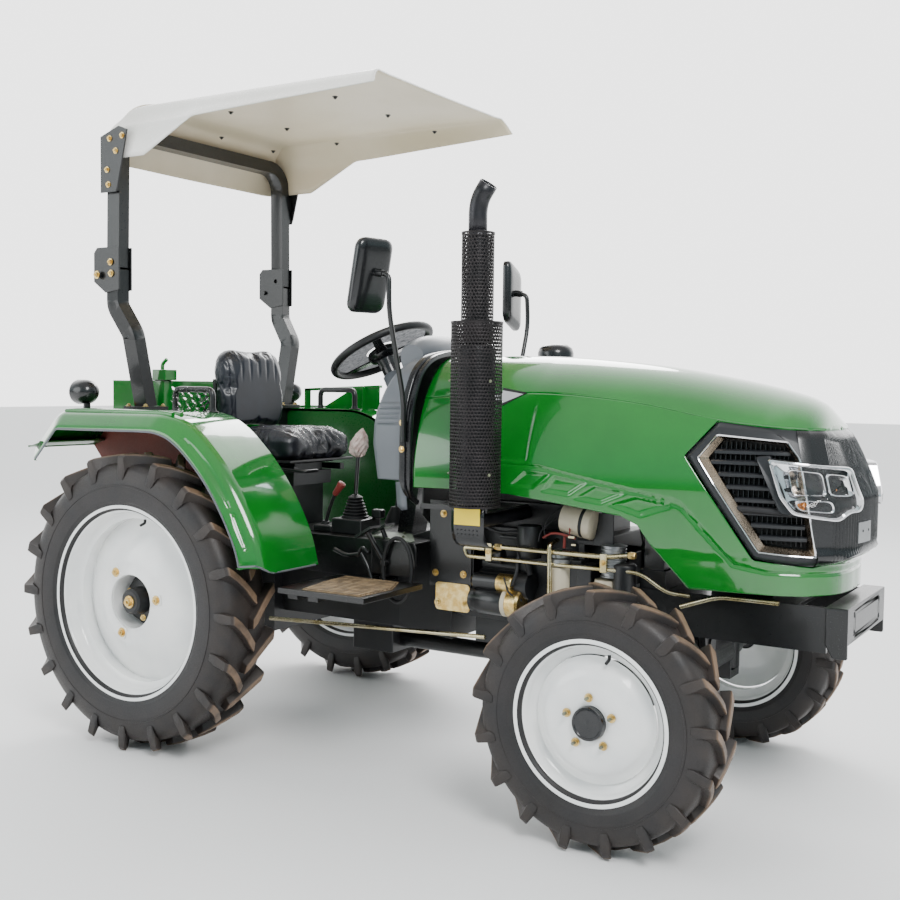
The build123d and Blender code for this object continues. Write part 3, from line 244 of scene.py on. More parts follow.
# a unit vector, and two more at right angles to it
def axes(direction):
    w = np.asarray(direction, float) / np.linalg.norm(direction)
    helper = np.array([0.0, 0.0, 1.0]) if abs(w[2]) < 0.9 else np.array([1.0, 0.0, 0.0])
    u = np.cross(helper, w)
    u /= np.linalg.norm(u)
    return u, np.cross(w, u), w


# turns a profile of (distance along the axis, radius) once round the axis: point = centre
# + along * axis + radius * (cos t * u + sin t * v)
def latheShape(centre, axis, profile, around=64, closed=False):
    u, v, w = axes(axis)
    profile = np.asarray(profile, float)
    t = np.linspace(0, 2 * np.pi, around, endpoint=False)
    ring = np.cos(t)[:, None] * u + np.sin(t)[:, None] * v
    grid = (np.asarray(centre, float) + profile[:, None, 0, None] * w
            + profile[:, None, 1, None] * ring[None])
    return gridShape(grid, closedRows=closed, closedColumns=True, capRows=not closed)


# a way through the given points with each corner rounded: a quadratic blend that leaves and
# meets the straight runs at the given distance from the corner
def roundWay(points, ease, steps=6):
    points = np.asarray(points, float)
    ease = np.broadcast_to(ease, len(points) - 2)
    way = [points[0]]
    for corner, reach, before, after in zip(points[1:-1], ease, points[:-2], points[2:]):
        inward = (before - corner) / np.linalg.norm(before - corner) * min(
            reach, 0.49 * np.linalg.norm(before - corner))
        outward = (after - corner) / np.linalg.norm(after - corner) * min(
            reach, 0.49 * np.linalg.norm(after - corner))
        s = np.linspace(0, 1, steps)[:, None]
        way += list(corner + inward * (1 - s) ** 2 + outward * s ** 2)
    way.append(points[-1])
    return np.array(way)


# carries a closed outline of (side, up) points along a way: at each point the outline stands
# across the mean direction of the way, its side axis square to the given up axis
def sweepShape(way, outline, up=(0, 0, 1), scale=None, caps=True):
    way = np.asarray(way, float)
    along = np.gradient(way, axis=0)
    along /= np.linalg.norm(along, axis=1)[:, None]
    side = np.cross(along, np.asarray(up, float))
    side /= np.linalg.norm(side, axis=1)[:, None]
    top = np.cross(side, along)
    outline = np.asarray(outline, float)
    size = np.ones(len(way)) if scale is None else np.asarray(scale, float)
    grid = (way[:, None] + (outline[None, :, 0] * size[:, None])[..., None] * side[:, None]
            + (outline[None, :, 1] * size[:, None])[..., None] * top[:, None])
    return gridShape(grid, closedColumns=True, capRows=caps)


def circleOutline(radius, around=16):
    t = np.linspace(0, 2 * np.pi, around, endpoint=False)
    return np.stack([radius * np.cos(t), radius * np.sin(t)], 1)


def tubeShape(points, radius, ease=0.03, up=(0, 0, 1), around=16):
    way = roundWay(points, ease) if len(points) > 2 else np.asarray(points, float)
    return sweepShape(way, circleOutline(radius, around), up)


# a box between two corners
def boxShape(low, high):
    x, y, z = np.stack([low, high]).T
    points = [(x[i], y[j], z[k]) for i in (0, 1) for j in (0, 1) for k in (0, 1)]
    return np.array(points), [[0, 1, 3, 2], [4, 6, 7, 5], [0, 4, 5, 1], [2, 3, 7, 6], [0, 2, 6, 4], [1, 5, 7, 3]]


# a flat plate: an outline of points, given thickness along a direction
def plateShape(outline, thickness):
    outline = np.asarray(outline, float)
    count = len(outline)
    points = np.vstack([outline, outline + np.asarray(thickness, float)])
    faces = [list(range(count))[::-1], list(range(count, 2 * count))]
    faces += [[i, (i + 1) % count, count + (i + 1) % count, count + i] for i in range(count)]
    return points, faces


# a hexagon bolt on its washer: the head's six flats end in a chamfer below a flat top
def boltShape(place, direction, size):
    u, v, w = axes(direction)
    washer = latheShape(place, direction, [(0, size * 0.95), (size * 0.18, size * 0.95)], 18)
    t = np.linspace(0, 2 * np.pi, 6, endpoint=False)
    ring = np.cos(t)[:, None] * u + np.sin(t)[:, None] * v
    levels = np.array([(0.18, 0.62), (0.62, 0.62), (0.72, 0.5)]) * size
    grid = np.asarray(place, float) + levels[:, None, 0, None] * w + levels[:, None, 1, None] * ring[None]
    stub = latheShape(place, direction, [(size * 0.7, size * 0.26), (size * 0.95, size * 0.26)], 10)
    return join([washer, gridShape(grid, closedColumns=True, capRows=True), stub])


# rounds what is sharper than the angle
def easeEdges(piece, width, angle):
    edge = piece.modifiers.new("edges", "BEVEL")
    edge.width, edge.segments, edge.limit_method = width, 2, "ANGLE"
    edge.angle_limit = math.radians(angle)
    edge.harden_normals = True


# makes the shapes one piece of the tractor: closed faces turned outwards, sharp edges kept,
# a finish and the body that it rides on; the slot of its paint is not used
def makePiece(name, shapes, finishName, body="chassis", slotName=None, bevel=0.0, sharp=38, subdivide=0, wall=0.0,
              stands=(), closed=True):
    slotName = slotName or finishes[finishName]["slot"]
    points, faces = join(shapes)
    mesh = bpy.data.meshes.new(name)
    mesh.from_pydata(points.tolist(), [], faces)
    work = bmesh.new()
    work.from_mesh(mesh)
    bmesh.ops.remove_doubles(work, verts=work.verts, dist=0.00001)
    if closed:
        bmesh.ops.recalc_face_normals(work, faces=work.faces)
    work.to_mesh(mesh)
    work.free()
    mesh.polygons.foreach_set("use_smooth", np.ones(len(mesh.polygons), bool))
    mesh.set_sharp_from_angle(angle=math.radians(sharp))
    piece = bpy.data.objects.new(name, mesh)
    bpy.context.scene.collection.objects.link(piece)
    mesh.materials.append(finish[finishName])
    if wall:
        shell = piece.modifiers.new("wall", "SOLIDIFY")
        shell.thickness, shell.offset = wall, -1.0
    if bevel:
        easeEdges(piece, bevel, 30)
    if subdivide:
        smooth = piece.modifiers.new("smooth", "SUBSURF")
        smooth.levels = smooth.render_levels = subdivide
    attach(piece, body)
    if stands:
        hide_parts(*stands)
    return piece


# makes the pieces of a table, whose rows are name: (finish, shapes, other arguments of makePiece)
def makePieces(table, body="chassis"):
    for name, (finishName, shapes, *others) in table.items():
        makePiece(name, shapes, finishName, body, **dict(*others))


bothWays = (-1, 1)
alongX, alongY, alongZ = (1, 0, 0), (0, 1, 0), (0, 0, 1)


def bothSides(build):
    return [build(side) for side in bothWays]


# several shapes of a kind, each row being one shape's arguments
def lathes(*rows):
    return [latheShape(*row) for row in rows]


def tubeRow(*rows):
    return [tubeShape(*row) for row in rows]


def boxRow(*rows):
    return [boxShape(*row) for row in rows]


# gives a CAD node its finish, with its edges eased
def dress(nodeName, finishName, ease=0.0):
    node = nodes[nodeName]
    node.data.materials.clear()
    node.data.materials.append(finish[finishName])
    if ease:
        node.modifiers.new("weld", "WELD").merge_threshold = 0.00002
        easeEdges(node, ease, 35)


# One tyre. Carcass: a profile of (share of half width, radius) turned round the axle, with
# fine ribs on its wall. Lugs: each is a bar from the shoulder to past the middle, swept round
# the tyre as it goes in, with a foot that runs down the wall; alternate sides are staggered.
wheels = {
    "rear": dict(x=0.0, z=0.491, y=0.607, half=0.106, radius=0.491, seat=0.305, lugs=20, lug=0.027,
                 barBase=0.020, barTop=0.0135, sweep=0.215, foot=0.052),
    "front": dict(x=1.654, z=0.350, y=0.583, half=0.0815, radius=0.350, seat=0.203, lugs=17, lug=0.022,
                  barBase=0.018, barTop=0.012, sweep=0.25, foot=0.042),
}


def tyreShapes(wheel, side):
    r, seat, half = wheel["radius"], wheel["seat"], wheel["half"]
    base = r - wheel["lug"]
    rise = base - seat
    wall = [(0.70, seat - 0.002), (0.80, seat + 0.001), (0.87, seat + 0.014), (0.905, seat + 0.028),
            (0.93, seat + 0.030), (0.945, seat + 0.034), (0.965, seat + 0.30 * rise + 0.01),
            (0.985, seat + 0.45 * rise), (0.985, seat + 0.50 * rise), (1.0, seat + 0.505 * rise),
            (1.0, seat + 0.54 * rise), (0.98, seat + 0.545 * rise), (0.955, seat + 0.68 * rise),
            (0.90, seat + 0.82 * rise), (0.80, seat + 0.93 * rise), (0.60, seat + 0.98 * rise), (0.30, base),
            (0.0, base + 0.001)]
    profile = [(-side * u * half, level) for u, level in wall] + [(side * u * half, level) for u, level in wall[-2::-1]]
    centre = (wheel["x"], side * wheel["y"], wheel["z"])
    carcass = latheShape(centre, (0, 1, 0), profile, 120, closed=True)
    # columns of a lug's stations: share of half width, top radius, root radius, sweep share, width share
    stations = np.array([
        (1.0, base - wheel["foot"], base - wheel["foot"] - 0.006, -0.04, 0.7),
        (1.0, base - 0.55 * wheel["foot"], base - wheel["foot"], -0.02, 0.85),
        (0.99, r - 0.012, base - 0.035, 0.0, 1.0),
        (0.90, r - 0.0015, base - 0.018, 0.02, 1.05),
        (0.62, r, base - 0.010, 0.24, 1.05),
        (0.34, r, base - 0.006, 0.52, 1.1),
        (0.08, r, base - 0.004, 0.84, 1.2),
        (-0.08, r - 0.002, base - 0.004, 1.0, 1.1),
    ])
    lugs = []
    for hand in (-1, 1):
        stagger = 0.0 if hand == side else 0.5
        turn = (np.arange(wheel["lugs"]) + stagger) * 2 * np.pi / wheel["lugs"]
        # across the bar: root, top, top, root on the trailing and the leading face
        across = np.array([(-1, 0), (-1, 1), (1, 1), (1, 0)], float)
        t = turn[:, None, None] + (stations[:, 3] * wheel["sweep"])[None, :, None]
        width = np.where(across[:, 1] > 0, wheel["barTop"], wheel["barBase"]) * across[:, 0]
        level = np.where(across[None, :, 1] > 0, stations[:, 1, None], stations[:, 2, None])
        t = t + (width[None, :] * stations[:, 4, None] / r)[None]
        level = np.broadcast_to(level[None], t.shape)
        y = np.broadcast_to((hand * half * stations[:, 0])[None, :, None], t.shape)
        squeeze = np.where(across[None, None, :, 1] > 0, 1.0, 0.97)
        grid = np.stack([centre[0] + level * np.sin(t), centre[1] + y * squeeze, centre[2] + level * np.cos(t)], -1)
        for one in grid:
            lugs.append(gridShape(one, closedColumns=True, capRows=True))
    return carcass, lugs


# Rubber of a tyre: carbon black, dull, with fine mould ribs; brown soil on the lugs' faces,
# found by their distance from the axle
def tyreRubber(name, wheel):
    look = dict(hex="#131316", second="#1b1a1d", rough=(0.42, 0.62), grainMm=4, bump=0.25, bumpMm=0.5, cloudMm=90)
    material = makeFinish(name, look)
    tree = material.node_tree
    shader = next(n for n in tree.nodes if n.type == "BSDF_PRINCIPLED")
    plain = shader.inputs["Base Color"].links[0].from_socket
    place = addNode(tree, "ShaderNodeTexCoord", {}).outputs["Object"]
    parts = addNode(tree, "ShaderNodeSeparateXYZ", {}, {0: place})
    across = addNode(tree, "ShaderNodeMath", {"operation": "SUBTRACT", 1: wheel["x"]}, {0: parts.outputs["X"]})
    upward = addNode(tree, "ShaderNodeMath", {"operation": "SUBTRACT", 1: wheel["z"]}, {0: parts.outputs["Z"]})
    flat = addNode(tree, "ShaderNodeCombineXYZ", {}, {0: across.outputs[0], 1: upward.outputs[0]})
    radius = addNode(tree, "ShaderNodeVectorMath", {"operation": "LENGTH"}, {0: flat.outputs[0]}).outputs["Value"]
    reach = wheel["radius"]
    worn = addNode(tree, "ShaderNodeMapRange", {"From Min": reach - 0.008, "From Max": reach - 0.001}, {0: radius})
    soil = addNode(tree, "ShaderNodeTexNoise", {"Scale": 1000 / 70, "Detail": 6.0}, {"Vector": place})
    spread = addNode(tree, "ShaderNodeMapRange", {"From Min": 0.3, "From Max": 0.6, "To Min": 0.2, "To Max": 0.75},
                     {0: soil.outputs["Fac"]})
    mask = addNode(tree, "ShaderNodeMath", {"operation": "MULTIPLY"}, {0: worn.outputs[0], 1: spread.outputs[0]})
    film = addNode(tree, "ShaderNodeMapRange", {"From Min": wheel["seat"] + 0.05, "From Max": reach,
                                                "To Min": 0.03, "To Max": 0.12}, {0: radius})
    faint = addNode(tree, "ShaderNodeMath", {"operation": "MULTIPLY"}, {0: film.outputs[0], 1: spread.outputs[0]})
    both = addNode(tree, "ShaderNodeMath", {"operation": "MAXIMUM"}, {0: mask.outputs[0], 1: faint.outputs[0]})
    dusty = addNode(tree, "ShaderNodeMix", {"data_type": "RGBA", 7: toLinear("#8a6f57")},
                    {0: both.outputs[0], 6: plain})
    tree.links.new(dusty.outputs[2], shader.inputs["Base Color"])
    return material


for wheelName, wheel in wheels.items():
    finish[wheelName + "TyreRubber"] = tyreRubber(wheelName + "TyreRubber", wheel)
    for hand, side in (("right", -1), ("left", 1)):
        carcass, lugs = tyreShapes(wheel, side)
        node = f"{wheelName}_tyre_{hand}"
        makePiece(f"{wheelName}Carcass.{hand}", [carcass], wheelName + "TyreRubber", f"{wheelName}_wheel_{hand}",
                  "tyre", sharp=50, stands=[node])
        makePiece(f"{wheelName}Lugs.{hand}", lugs, wheelName + "TyreRubber", f"{wheelName}_wheel_{hand}", "tyre",
                  bevel=0.0022)
print("stage: tyres")

# Rims. The barrel's profile is (distance outward from the wheel's middle, radius), walked along
# its outer face and back along its inner face; the disc is a dish turned the same way.
rims = {
    "rear": dict(flange=0.093, seat=0.305, lip=0.020, well=0.026, metal=0.006,
                 disc=[(-0.018, 0.277), (-0.012, 0.262), (0.010, 0.232), (0.038, 0.176), (0.050, 0.150),
                       (0.055, 0.128), (0.056, 0.104), (0.060, 0.094), (0.062, 0.090), (-0.008, 0.088)],
                 slotTurns=(35, 215), bolts=3, boltRing=0.116, boltSize=0.017, boltOut=0.058, firstBolt=8),
    "front": dict(flange=0.072, seat=0.203, lip=0.018, well=0.026, metal=0.005,
                  disc=[(0.026, 0.1705), (0.030, 0.162), (0.048, 0.146), (0.058, 0.128), (0.062, 0.112),
                        (0.062, 0.060), (0.060, 0.046), (0.052, 0.043)],
                  slotTurns=(20, 110), bolts=5, boltRing=0.067, boltSize=0.0125, boltOut=0.0645, firstBolt=20),
}


def rimShapes(wheel, rim, side):
    centre = np.array([wheel["x"], side * wheel["y"], wheel["z"]])
    axis = np.array([0.0, side, 0.0])
    seat, flange, lip, metal = rim["seat"], rim["flange"], rim["lip"], rim["metal"]
    half = [(flange + 0.001, seat + lip - 0.007), (flange, seat + lip - 0.001), (flange - 0.005, seat + lip + 0.001),
            (flange - 0.010, seat + lip - 0.004), (flange - 0.013, seat + 0.004), (flange - 0.018, seat),
            (0.5 * flange, seat - 0.004), (0.36 * flange, seat - 0.007), (0.26 * flange, seat - rim["well"])]
    outer = half + [(-u, r) for u, r in half[::-1]]
    inner = [(u * (1 - 0.02), r - metal) for u, r in outer[::-1]]
    barrel = latheShape(centre, axis, outer + inner, 120, closed=True)
    face = rim["disc"]
    back = [(u - metal, r - 0.3 * metal) for u, r in face[::-1]]
    dish = latheShape(centre, axis, face + back, 120, closed=True)
    turns = np.radians(rim["firstBolt"] + np.arange(rim["bolts"]) * 360 / rim["bolts"])
    bolts = [boltShape(centre + axis * rim["boltOut"] + rim["boltRing"] * np.array([math.cos(t), 0, math.sin(t)]),
                       axis, rim["boltSize"]) for t in turns]
    return barrel, dish, bolts, centre, axis, turns


for wheelName, wheel in wheels.items():
    rim = rims[wheelName]
    for hand, side in (("right", -1), ("left", 1)):
        body = f"{wheelName}_wheel_{hand}"
        barrel, dish, bolts, centre, axis, turns = rimShapes(wheel, rim, side)
        makePiece(f"{wheelName}RimBarrel.{hand}", [barrel], "whiteEnamel", body, sharp=55,
                  stands=[f"{wheelName}_rim_{hand}"])
        makePiece(f"{wheelName}RimDisc.{hand}", [dish], "whiteEnamel", body, sharp=50)
        makePiece(f"{wheelName}RimBolts.{hand}", bolts, "goldZinc", body, sharp=30)
        valve = centre + axis * (rim["flange"] - 0.03) + (rim["seat"] - 0.030) * np.array([0.25, 0, 0.968])
        makePiece(f"{wheelName}Valve.{hand}",
                  [tubeShape([valve + [0, 0, 0.012], valve, valve + axis * 0.02 + [0, 0, -0.006]], 0.0045, 0.006,
                             up=(1, 0, 0), around=10)], "blackRubber", body)
        if wheelName == "rear":
            hub = [(-0.120, 0.050), (-0.060, 0.052), (-0.052, 0.086), (-0.012, 0.087), (-0.008, 0.082),
                   (0.012, 0.070), (0.016, 0.046), (0.060, 0.042), (0.066, 0.034)]
            makePiece(f"rearHub.{hand}", [latheShape(centre, axis, hub, 64)], "castIron", body, sharp=35)
            spin = turns + math.radians(30)
            studs = [boltShape(centre + axis * 0.013 + 0.060 * np.array([math.cos(t), 0, math.sin(t)]), axis, 0.012)
                     for t in spin]
            cap = boltShape(centre + axis * 0.066, axis, 0.022)
            makePiece(f"rearHubBolts.{hand}", studs + [cap], "goldZinc", body, sharp=30)
            # clamps: bent straps that hold the disc to the rim's three lugs
            straps = []
            for t in turns:
                out = np.array([math.cos(t), 0, math.sin(t)])
                along = np.array([-math.sin(t), 0, math.cos(t)])
                foot = centre + axis * 0.0555 + 0.098 * out
                outline = [foot - 0.017 * along, foot + 0.017 * along, foot + 0.017 * along + 0.036 * out,
                           foot - 0.017 * along + 0.036 * out]
                straps.append(plateShape(outline, axis * 0.004))
            makePiece(f"rearClamps.{hand}", straps, "whiteEnamel", body, bevel=0.0015)
        else:
            cap = [(0.050, 0.036), (0.058, 0.0445), (0.072, 0.0455), (0.078, 0.0435), (0.079, 0.038), (0.0765, 0.036),
                   (0.0765, 0.010), (0.078, 0.004), (0.078, 0.0)]
            makePiece(f"frontHubCap.{hand}", [latheShape(centre, axis, cap, 48)], "blackAbs", body, "black_paint",
                      sharp=35)
            studs = [latheShape(centre + axis * 0.062 + 0.067 * np.array([math.cos(t), 0, math.sin(t)]), axis,
                                [(0.0, 0.0045), (0.022, 0.0045)], 10) for t in turns]
            makePiece(f"frontStuds.{hand}", studs, "greyPhosphate", body)
print("stage: rims")


# camera, floor and light
look = dict(place=(2.9227, -3.3998, 1.2229), azimuth=31.74, pitch=3.21, roll=0.72, lens=47.15)
a, p, r = (math.radians(look[key]) for key in ("azimuth", "pitch", "roll"))
ahead = np.array([-math.sin(a) * math.cos(p), math.cos(a) * math.cos(p), -math.sin(p)])
level = np.array([math.cos(a), math.sin(a), 0.0])
upward = np.cross(level, ahead)
right = math.cos(r) * level + math.sin(r) * upward
upright = -math.sin(r) * level + math.cos(r) * upward
lens = bpy.data.cameras.new("camera")
lens.lens, lens.sensor_width, lens.clip_end = look["lens"], 36.0, 100.0
camera = bpy.data.objects.new("camera", lens)
bpy.context.scene.collection.objects.link(camera)
turned = np.eye(4)
turned[:3, 0], turned[:3, 1], turned[:3, 2], turned[:3, 3] = right, upright, -ahead, look["place"]
camera.matrix_world = Matrix(turned.tolist())
bpy.context.scene.camera = camera

floorShape = gridShape(np.array([[(-40, -40, 0), (40, -40, 0)], [(-40, 40, 0), (40, 40, 0)]], float))
floorMesh = bpy.data.meshes.new("floor")
floorMesh.from_pydata(floorShape[0].tolist(), [], floorShape[1])
floor = bpy.data.objects.new("floor", floorMesh)
bpy.context.scene.collection.objects.link(floor)
# sealed studio floor: pale and matt
floorMesh.materials.append(makeFinish("studioFloor", dict(hex="#f2f2f2", rough=(0.6, 0.7), grainMm=30, bump=0.0)))


def addLight(name, place, aim, power, size, tint="#ffffff"):
    lamp = bpy.data.lights.new(name, "AREA")
    lamp.energy, lamp.shape, lamp.size, lamp.color = power, "DISK", size, toLinear(tint)[:3]
    lampObject = bpy.data.objects.new(name, lamp)
    bpy.context.scene.collection.objects.link(lampObject)
    back = np.array(place, float) - np.array(aim, float)
    u, v, w = axes(back)
    pose = np.eye(4)
    pose[:3, 0], pose[:3, 1], pose[:3, 2], pose[:3, 3] = u, v, w, place
    lampObject.matrix_world = Matrix(pose.tolist())


addLight("key", (4.5, -3.5, 5.0), (0.9, 0.0, 0.8), 300, 2.4)
addLight("side", (-3.2, -5.2, 2.6), (0.6, 0.0, 0.7), 140, 4.2)
addLight("rim", (-1.5, 4.5, 4.5), (0.6, 0.0, 1.0), 260, 3.0)
# The sky: white behind the tractor, and in front of it a pale blue sky over dark ground, which
# is what the paint mirrors.
world = bpy.data.worlds.new("sky")
bpy.context.scene.world = world
world.use_nodes = True
sky = world.node_tree
sky.nodes.clear()
direction = addNode(sky, "ShaderNodeTexCoord", {}).outputs["Generated"]
height = addNode(sky, "ShaderNodeSeparateXYZ", {}, {0: direction}).outputs["Z"]
behind = addNode(sky, "ShaderNodeVectorMath", {"operation": "DOT_PRODUCT", 1: (-0.525, 0.85, 0.0)},
                 {0: direction}).outputs["Value"]
white = addNode(sky, "ShaderNodeMapRange", {"From Min": 0.1, "From Max": 0.65}, {0: behind}).outputs[0]
low = addNode(sky, "ShaderNodeMapRange", {"From Min": 0.0, "From Max": 0.16}, {0: height}).outputs[0]
high = addNode(sky, "ShaderNodeMapRange", {"From Min": 0.2, "From Max": 0.9}, {0: height}).outputs[0]
ground = addNode(sky, "ShaderNodeMix", {"data_type": "RGBA", 6: toLinear("#55564f"), 7: toLinear("#cfe9ee")}, {0: low})
front = addNode(sky, "ShaderNodeMix", {"data_type": "RGBA", 7: toLinear("#ffffff")}, {0: high, 6: ground.outputs[2]})
frontGlow = addNode(sky, "ShaderNodeBackground", {"Strength": 0.95}, {"Color": front.outputs[2]})
backGlow = addNode(sky, "ShaderNodeBackground", {"Color": toLinear("#ffffff"), "Strength": 3.2})
glow = addNode(sky, "ShaderNodeMixShader", {}, {0: white, 1: frontGlow.outputs[0], 2: backGlow.outputs[0]})
addNode(sky, "ShaderNodeOutputWorld", {}, {"Surface": glow.outputs[0]})
print("stage: camera and light")


# Hood. Its wall is a sheet over (distance along its plan curve, height): the plan curve runs
# from the rear edge round the nose to the middle of the front, and the sheet leans inwards
# above the belt line by the square of the height over it. The top is crowned between the two
# crease lines: height falls from the middle line by a power of the share of the way out.
hood = dict(
    rear=0.900, nose=2.196,
    plan=[(0.900, 0.345), (1.080, 0.331), (1.260, 0.316), (1.450, 0.301), (1.620, 0.288), (1.830, 0.272),
          (1.960, 0.262), (2.040, 0.250), (2.100, 0.226), (2.138, 0.196), (2.165, 0.165), (2.184, 0.126),
          (2.192, 0.085), (2.196, 0.040), (2.196, 0.0)],
    belt=0.930, lean=0.046, leanRise=0.205, chin=0.032,
    creaseX=[0.900, 1.260, 1.490, 1.620, 1.837, 1.940, 2.080, 2.150, 2.200],
    creaseZ=[1.180, 1.201, 1.188, 1.172, 1.133, 1.122, 1.114, 1.112, 1.112],
    topX=[0.900, 1.080, 1.260, 1.440, 1.620, 1.830, 1.930, 2.000, 2.040, 2.066, 2.084, 2.098, 2.112],
    topZ=[1.312, 1.312, 1.309, 1.297, 1.278, 1.243, 1.222, 1.204, 1.190, 1.174, 1.154, 1.134, 1.114],
    crown=[3.6, 3.0, 2.3, 2.2, 2.1, 2.1], crownX=[0.900, 1.080, 1.260, 1.620, 1.900, 2.200],
    lowX=[0.900, 1.014, 1.220, 1.390, 1.574, 1.625, 1.664, 1.776, 2.200],
    lowZ=[0.900, 0.901, 0.896, 0.876, 0.852, 0.829, 0.776, 0.660, 0.664],
    waistX=[0.900, 1.753], waistZ=[1.010, 1.033],
    maskX=[1.753, 1.952, 2.110, 2.165, 2.196], maskLowZ=[1.033, 0.754, 0.740, 0.752, 0.768],
    maskUpX=[1.753, 1.837], maskUpZ=[1.033, 1.133],
    panelLine=0.0035, wall=0.004,
)


# rises smoothly from 0 at low to 1 at high
def ease(value, low, high):
    t = np.clip((value - low) / (high - low), 0, 1)
    return t * t * (3 - 2 * t)


# a smooth curve through points at the given places: cubic pieces whose slopes are the mean of
# the slopes on either side
def smoothCurve(places, points, at):
    places, points, at = (np.asarray(v, float) for v in (places, points, at))
    slope = np.diff(points, axis=0) / np.diff(places)[:, None] if points.ndim > 1 else np.diff(points) / np.diff(places)
    mean = np.concatenate([slope[:1], (slope[1:] + slope[:-1]) / 2, slope[-1:]])
    i = np.clip(np.searchsorted(places, at, side="right") - 1, 0, len(places) - 2)
    width = places[i + 1] - places[i]
    t = (at - places[i]) / width
    if points.ndim > 1:
        t, width = t[:, None], width[:, None]
    return ((2 * t ** 3 - 3 * t ** 2 + 1) * points[i] + (t ** 3 - 2 * t ** 2 + t) * width * mean[i]
            + (3 * t ** 2 - 2 * t ** 3) * points[i + 1] + (t ** 3 - t ** 2) * width * mean[i + 1])


planPoints = np.array(hood["plan"])
planAlong = np.concatenate([[0], np.cumsum(np.linalg.norm(np.diff(planPoints, axis=0), axis=1))])
# places along the curve by x, dense where the nose turns


def planAt(along):
    place = smoothCurve(planAlong, planPoints, along)
    step = smoothCurve(planAlong, planPoints, along + 0.0005) - smoothCurve(planAlong, planPoints, along - 0.0005)
    outward = np.stack([-step[:, 1], step[:, 0]], 1)
    outward /= np.linalg.norm(outward, axis=1)[:, None]
    return place, outward


def alongAtX(x):
    fine = np.linspace(0, planAlong[-1], 2000)
    return np.interp(x, np.maximum.accumulate(planAt(fine)[0][:, 0]), fine)


# how far a wall point at height z leans in: by a square of the height over the belt on the
# flanks, and more steeply on the nose, where the strip under the mask also stands back
def leanAt(z, ahead=0.0):
    above = np.maximum(z - hood["belt"], 0)
    flank = hood["lean"] * (above / hood["leanRise"]) ** 2
    nose = 0.36 * above + 0.6 * above ** 2 + hood["chin"] * (1 - ease(z, 0.740, 0.772))
    return (1 - ahead) * flank + ahead * nose


# a point of the wall: along and z are arrays, out is how far it stands off the wall
def wallPoint(along, z, side, out=0.0):
    along, z, out = np.broadcast_arrays(along, z, out)
    place, outward = planAt(along.ravel())
    off = (out.ravel() - leanAt(z.ravel(), outward[:, 0]))[:, None]
    flat = place + outward * off
    return np.stack([flat[:, 0], side * flat[:, 1], z.ravel()], 1).reshape(*along.shape, 3)


# distance inside a convex outline (positive within), for pressing recesses
def insideBy(x, z, outline):
    outline = np.asarray(outline, float)
    area = np.sum(outline[:, 0] * np.roll(outline[:, 1], -1) - np.roll(outline[:, 0], -1) * outline[:, 1])
    best = np.full(np.shape(x), 9.0)
    for start, end in zip(outline, np.roll(outline, -1, axis=0)):
        edge = end - start
        away = (edge[0] * (z - start[1]) - edge[1] * (x - start[0])) / np.linalg.norm(edge) * np.sign(area)
        best = np.minimum(best, away)
    return best


# distance from a bent line of points, for pressing grooves
def awayFromLine(x, z, line):
    best = np.full(np.shape(x), 9.0)
    line = np.asarray(line, float)
    for start, end in zip(line[:-1], line[1:]):
        edge = end - start
        t = np.clip(((x - start[0]) * edge[0] + (z - start[1]) * edge[1]) / (edge @ edge), 0, 1)
        best = np.minimum(best, np.hypot(x - start[0] - t * edge[0], z - start[1] - t * edge[1]))
    return best


pressed = dict(
    windows=[[(1.275, 0.966), (1.352, 0.962), (1.300, 0.918), (1.224, 0.922)],
             [(1.367, 0.957), (1.473, 0.943), (1.413, 0.902), (1.332, 0.911)],
             [(1.495, 0.933), (1.592, 0.919), (1.512, 0.884), (1.433, 0.895)],
             [(1.618, 0.908), (1.733, 0.892), (1.630, 0.856), (1.539, 0.882)]],
    windowDepth=0.005, windowEdge=0.008,
    groove=[(1.160, 0.987), (1.314, 0.981), (1.428, 0.957), (1.632, 0.918), (1.725, 0.899), (1.753, 0.887),
            (1.864, 0.772), (1.899, 0.738), (1.985, 0.724), (2.200, 0.722)],
    grooveDepth=0.0035, grooveHalf=0.007,
    rearStepX=1.286, rearStep=0.007, rearStepWidth=0.016,
)


# how deep the wall is pressed in at (x, z): windows, the groove and the step behind the side panel
def pressDepth(x, z):
    depth = np.zeros(np.shape(x))
    for window in pressed["windows"]:
        depth = np.maximum(depth, pressed["windowDepth"] * ease(insideBy(x, z, window), -0.003, pressed["windowEdge"]))
    away = awayFromLine(x, z, pressed["groove"])
    depth = np.maximum(depth, pressed["grooveDepth"] * (1 - ease(away, 0.0, pressed["grooveHalf"])))
    lean = pressed["rearStepX"] + 0.05 * (z - 1.05)
    behind = 1 - ease(x, lean - pressed["rearStepWidth"], lean)
    fade = ease(x, 1.06, 1.22) * ease(z, 0.985, 1.005) * (1 - ease(z, 1.12, 1.19))
    return depth + pressed["rearStep"] * behind * fade


creaseAt = lambda x: smoothCurve(hood["creaseX"], hood["creaseZ"], x)
lowAt = lambda x: np.interp(x, hood["lowX"], hood["lowZ"])


def wallGrid(fromX, toX, lowOf, highOf, columns, rows, side):
    along = np.linspace(alongAtX(fromX), alongAtX(toX) if toX < hood["nose"] - 0.001 else planAlong[-1], columns)
    x = planAt(along)[0][:, 0]
    t = np.linspace(0, 1, rows)[:, None]
    z = lowOf(x)[None] * (1 - t) + highOf(x)[None] * t
    flatX = np.broadcast_to(x[None], z.shape)
    return wallPoint(np.broadcast_to(along[None], z.shape), z, side, -pressDepth(flatX, z))


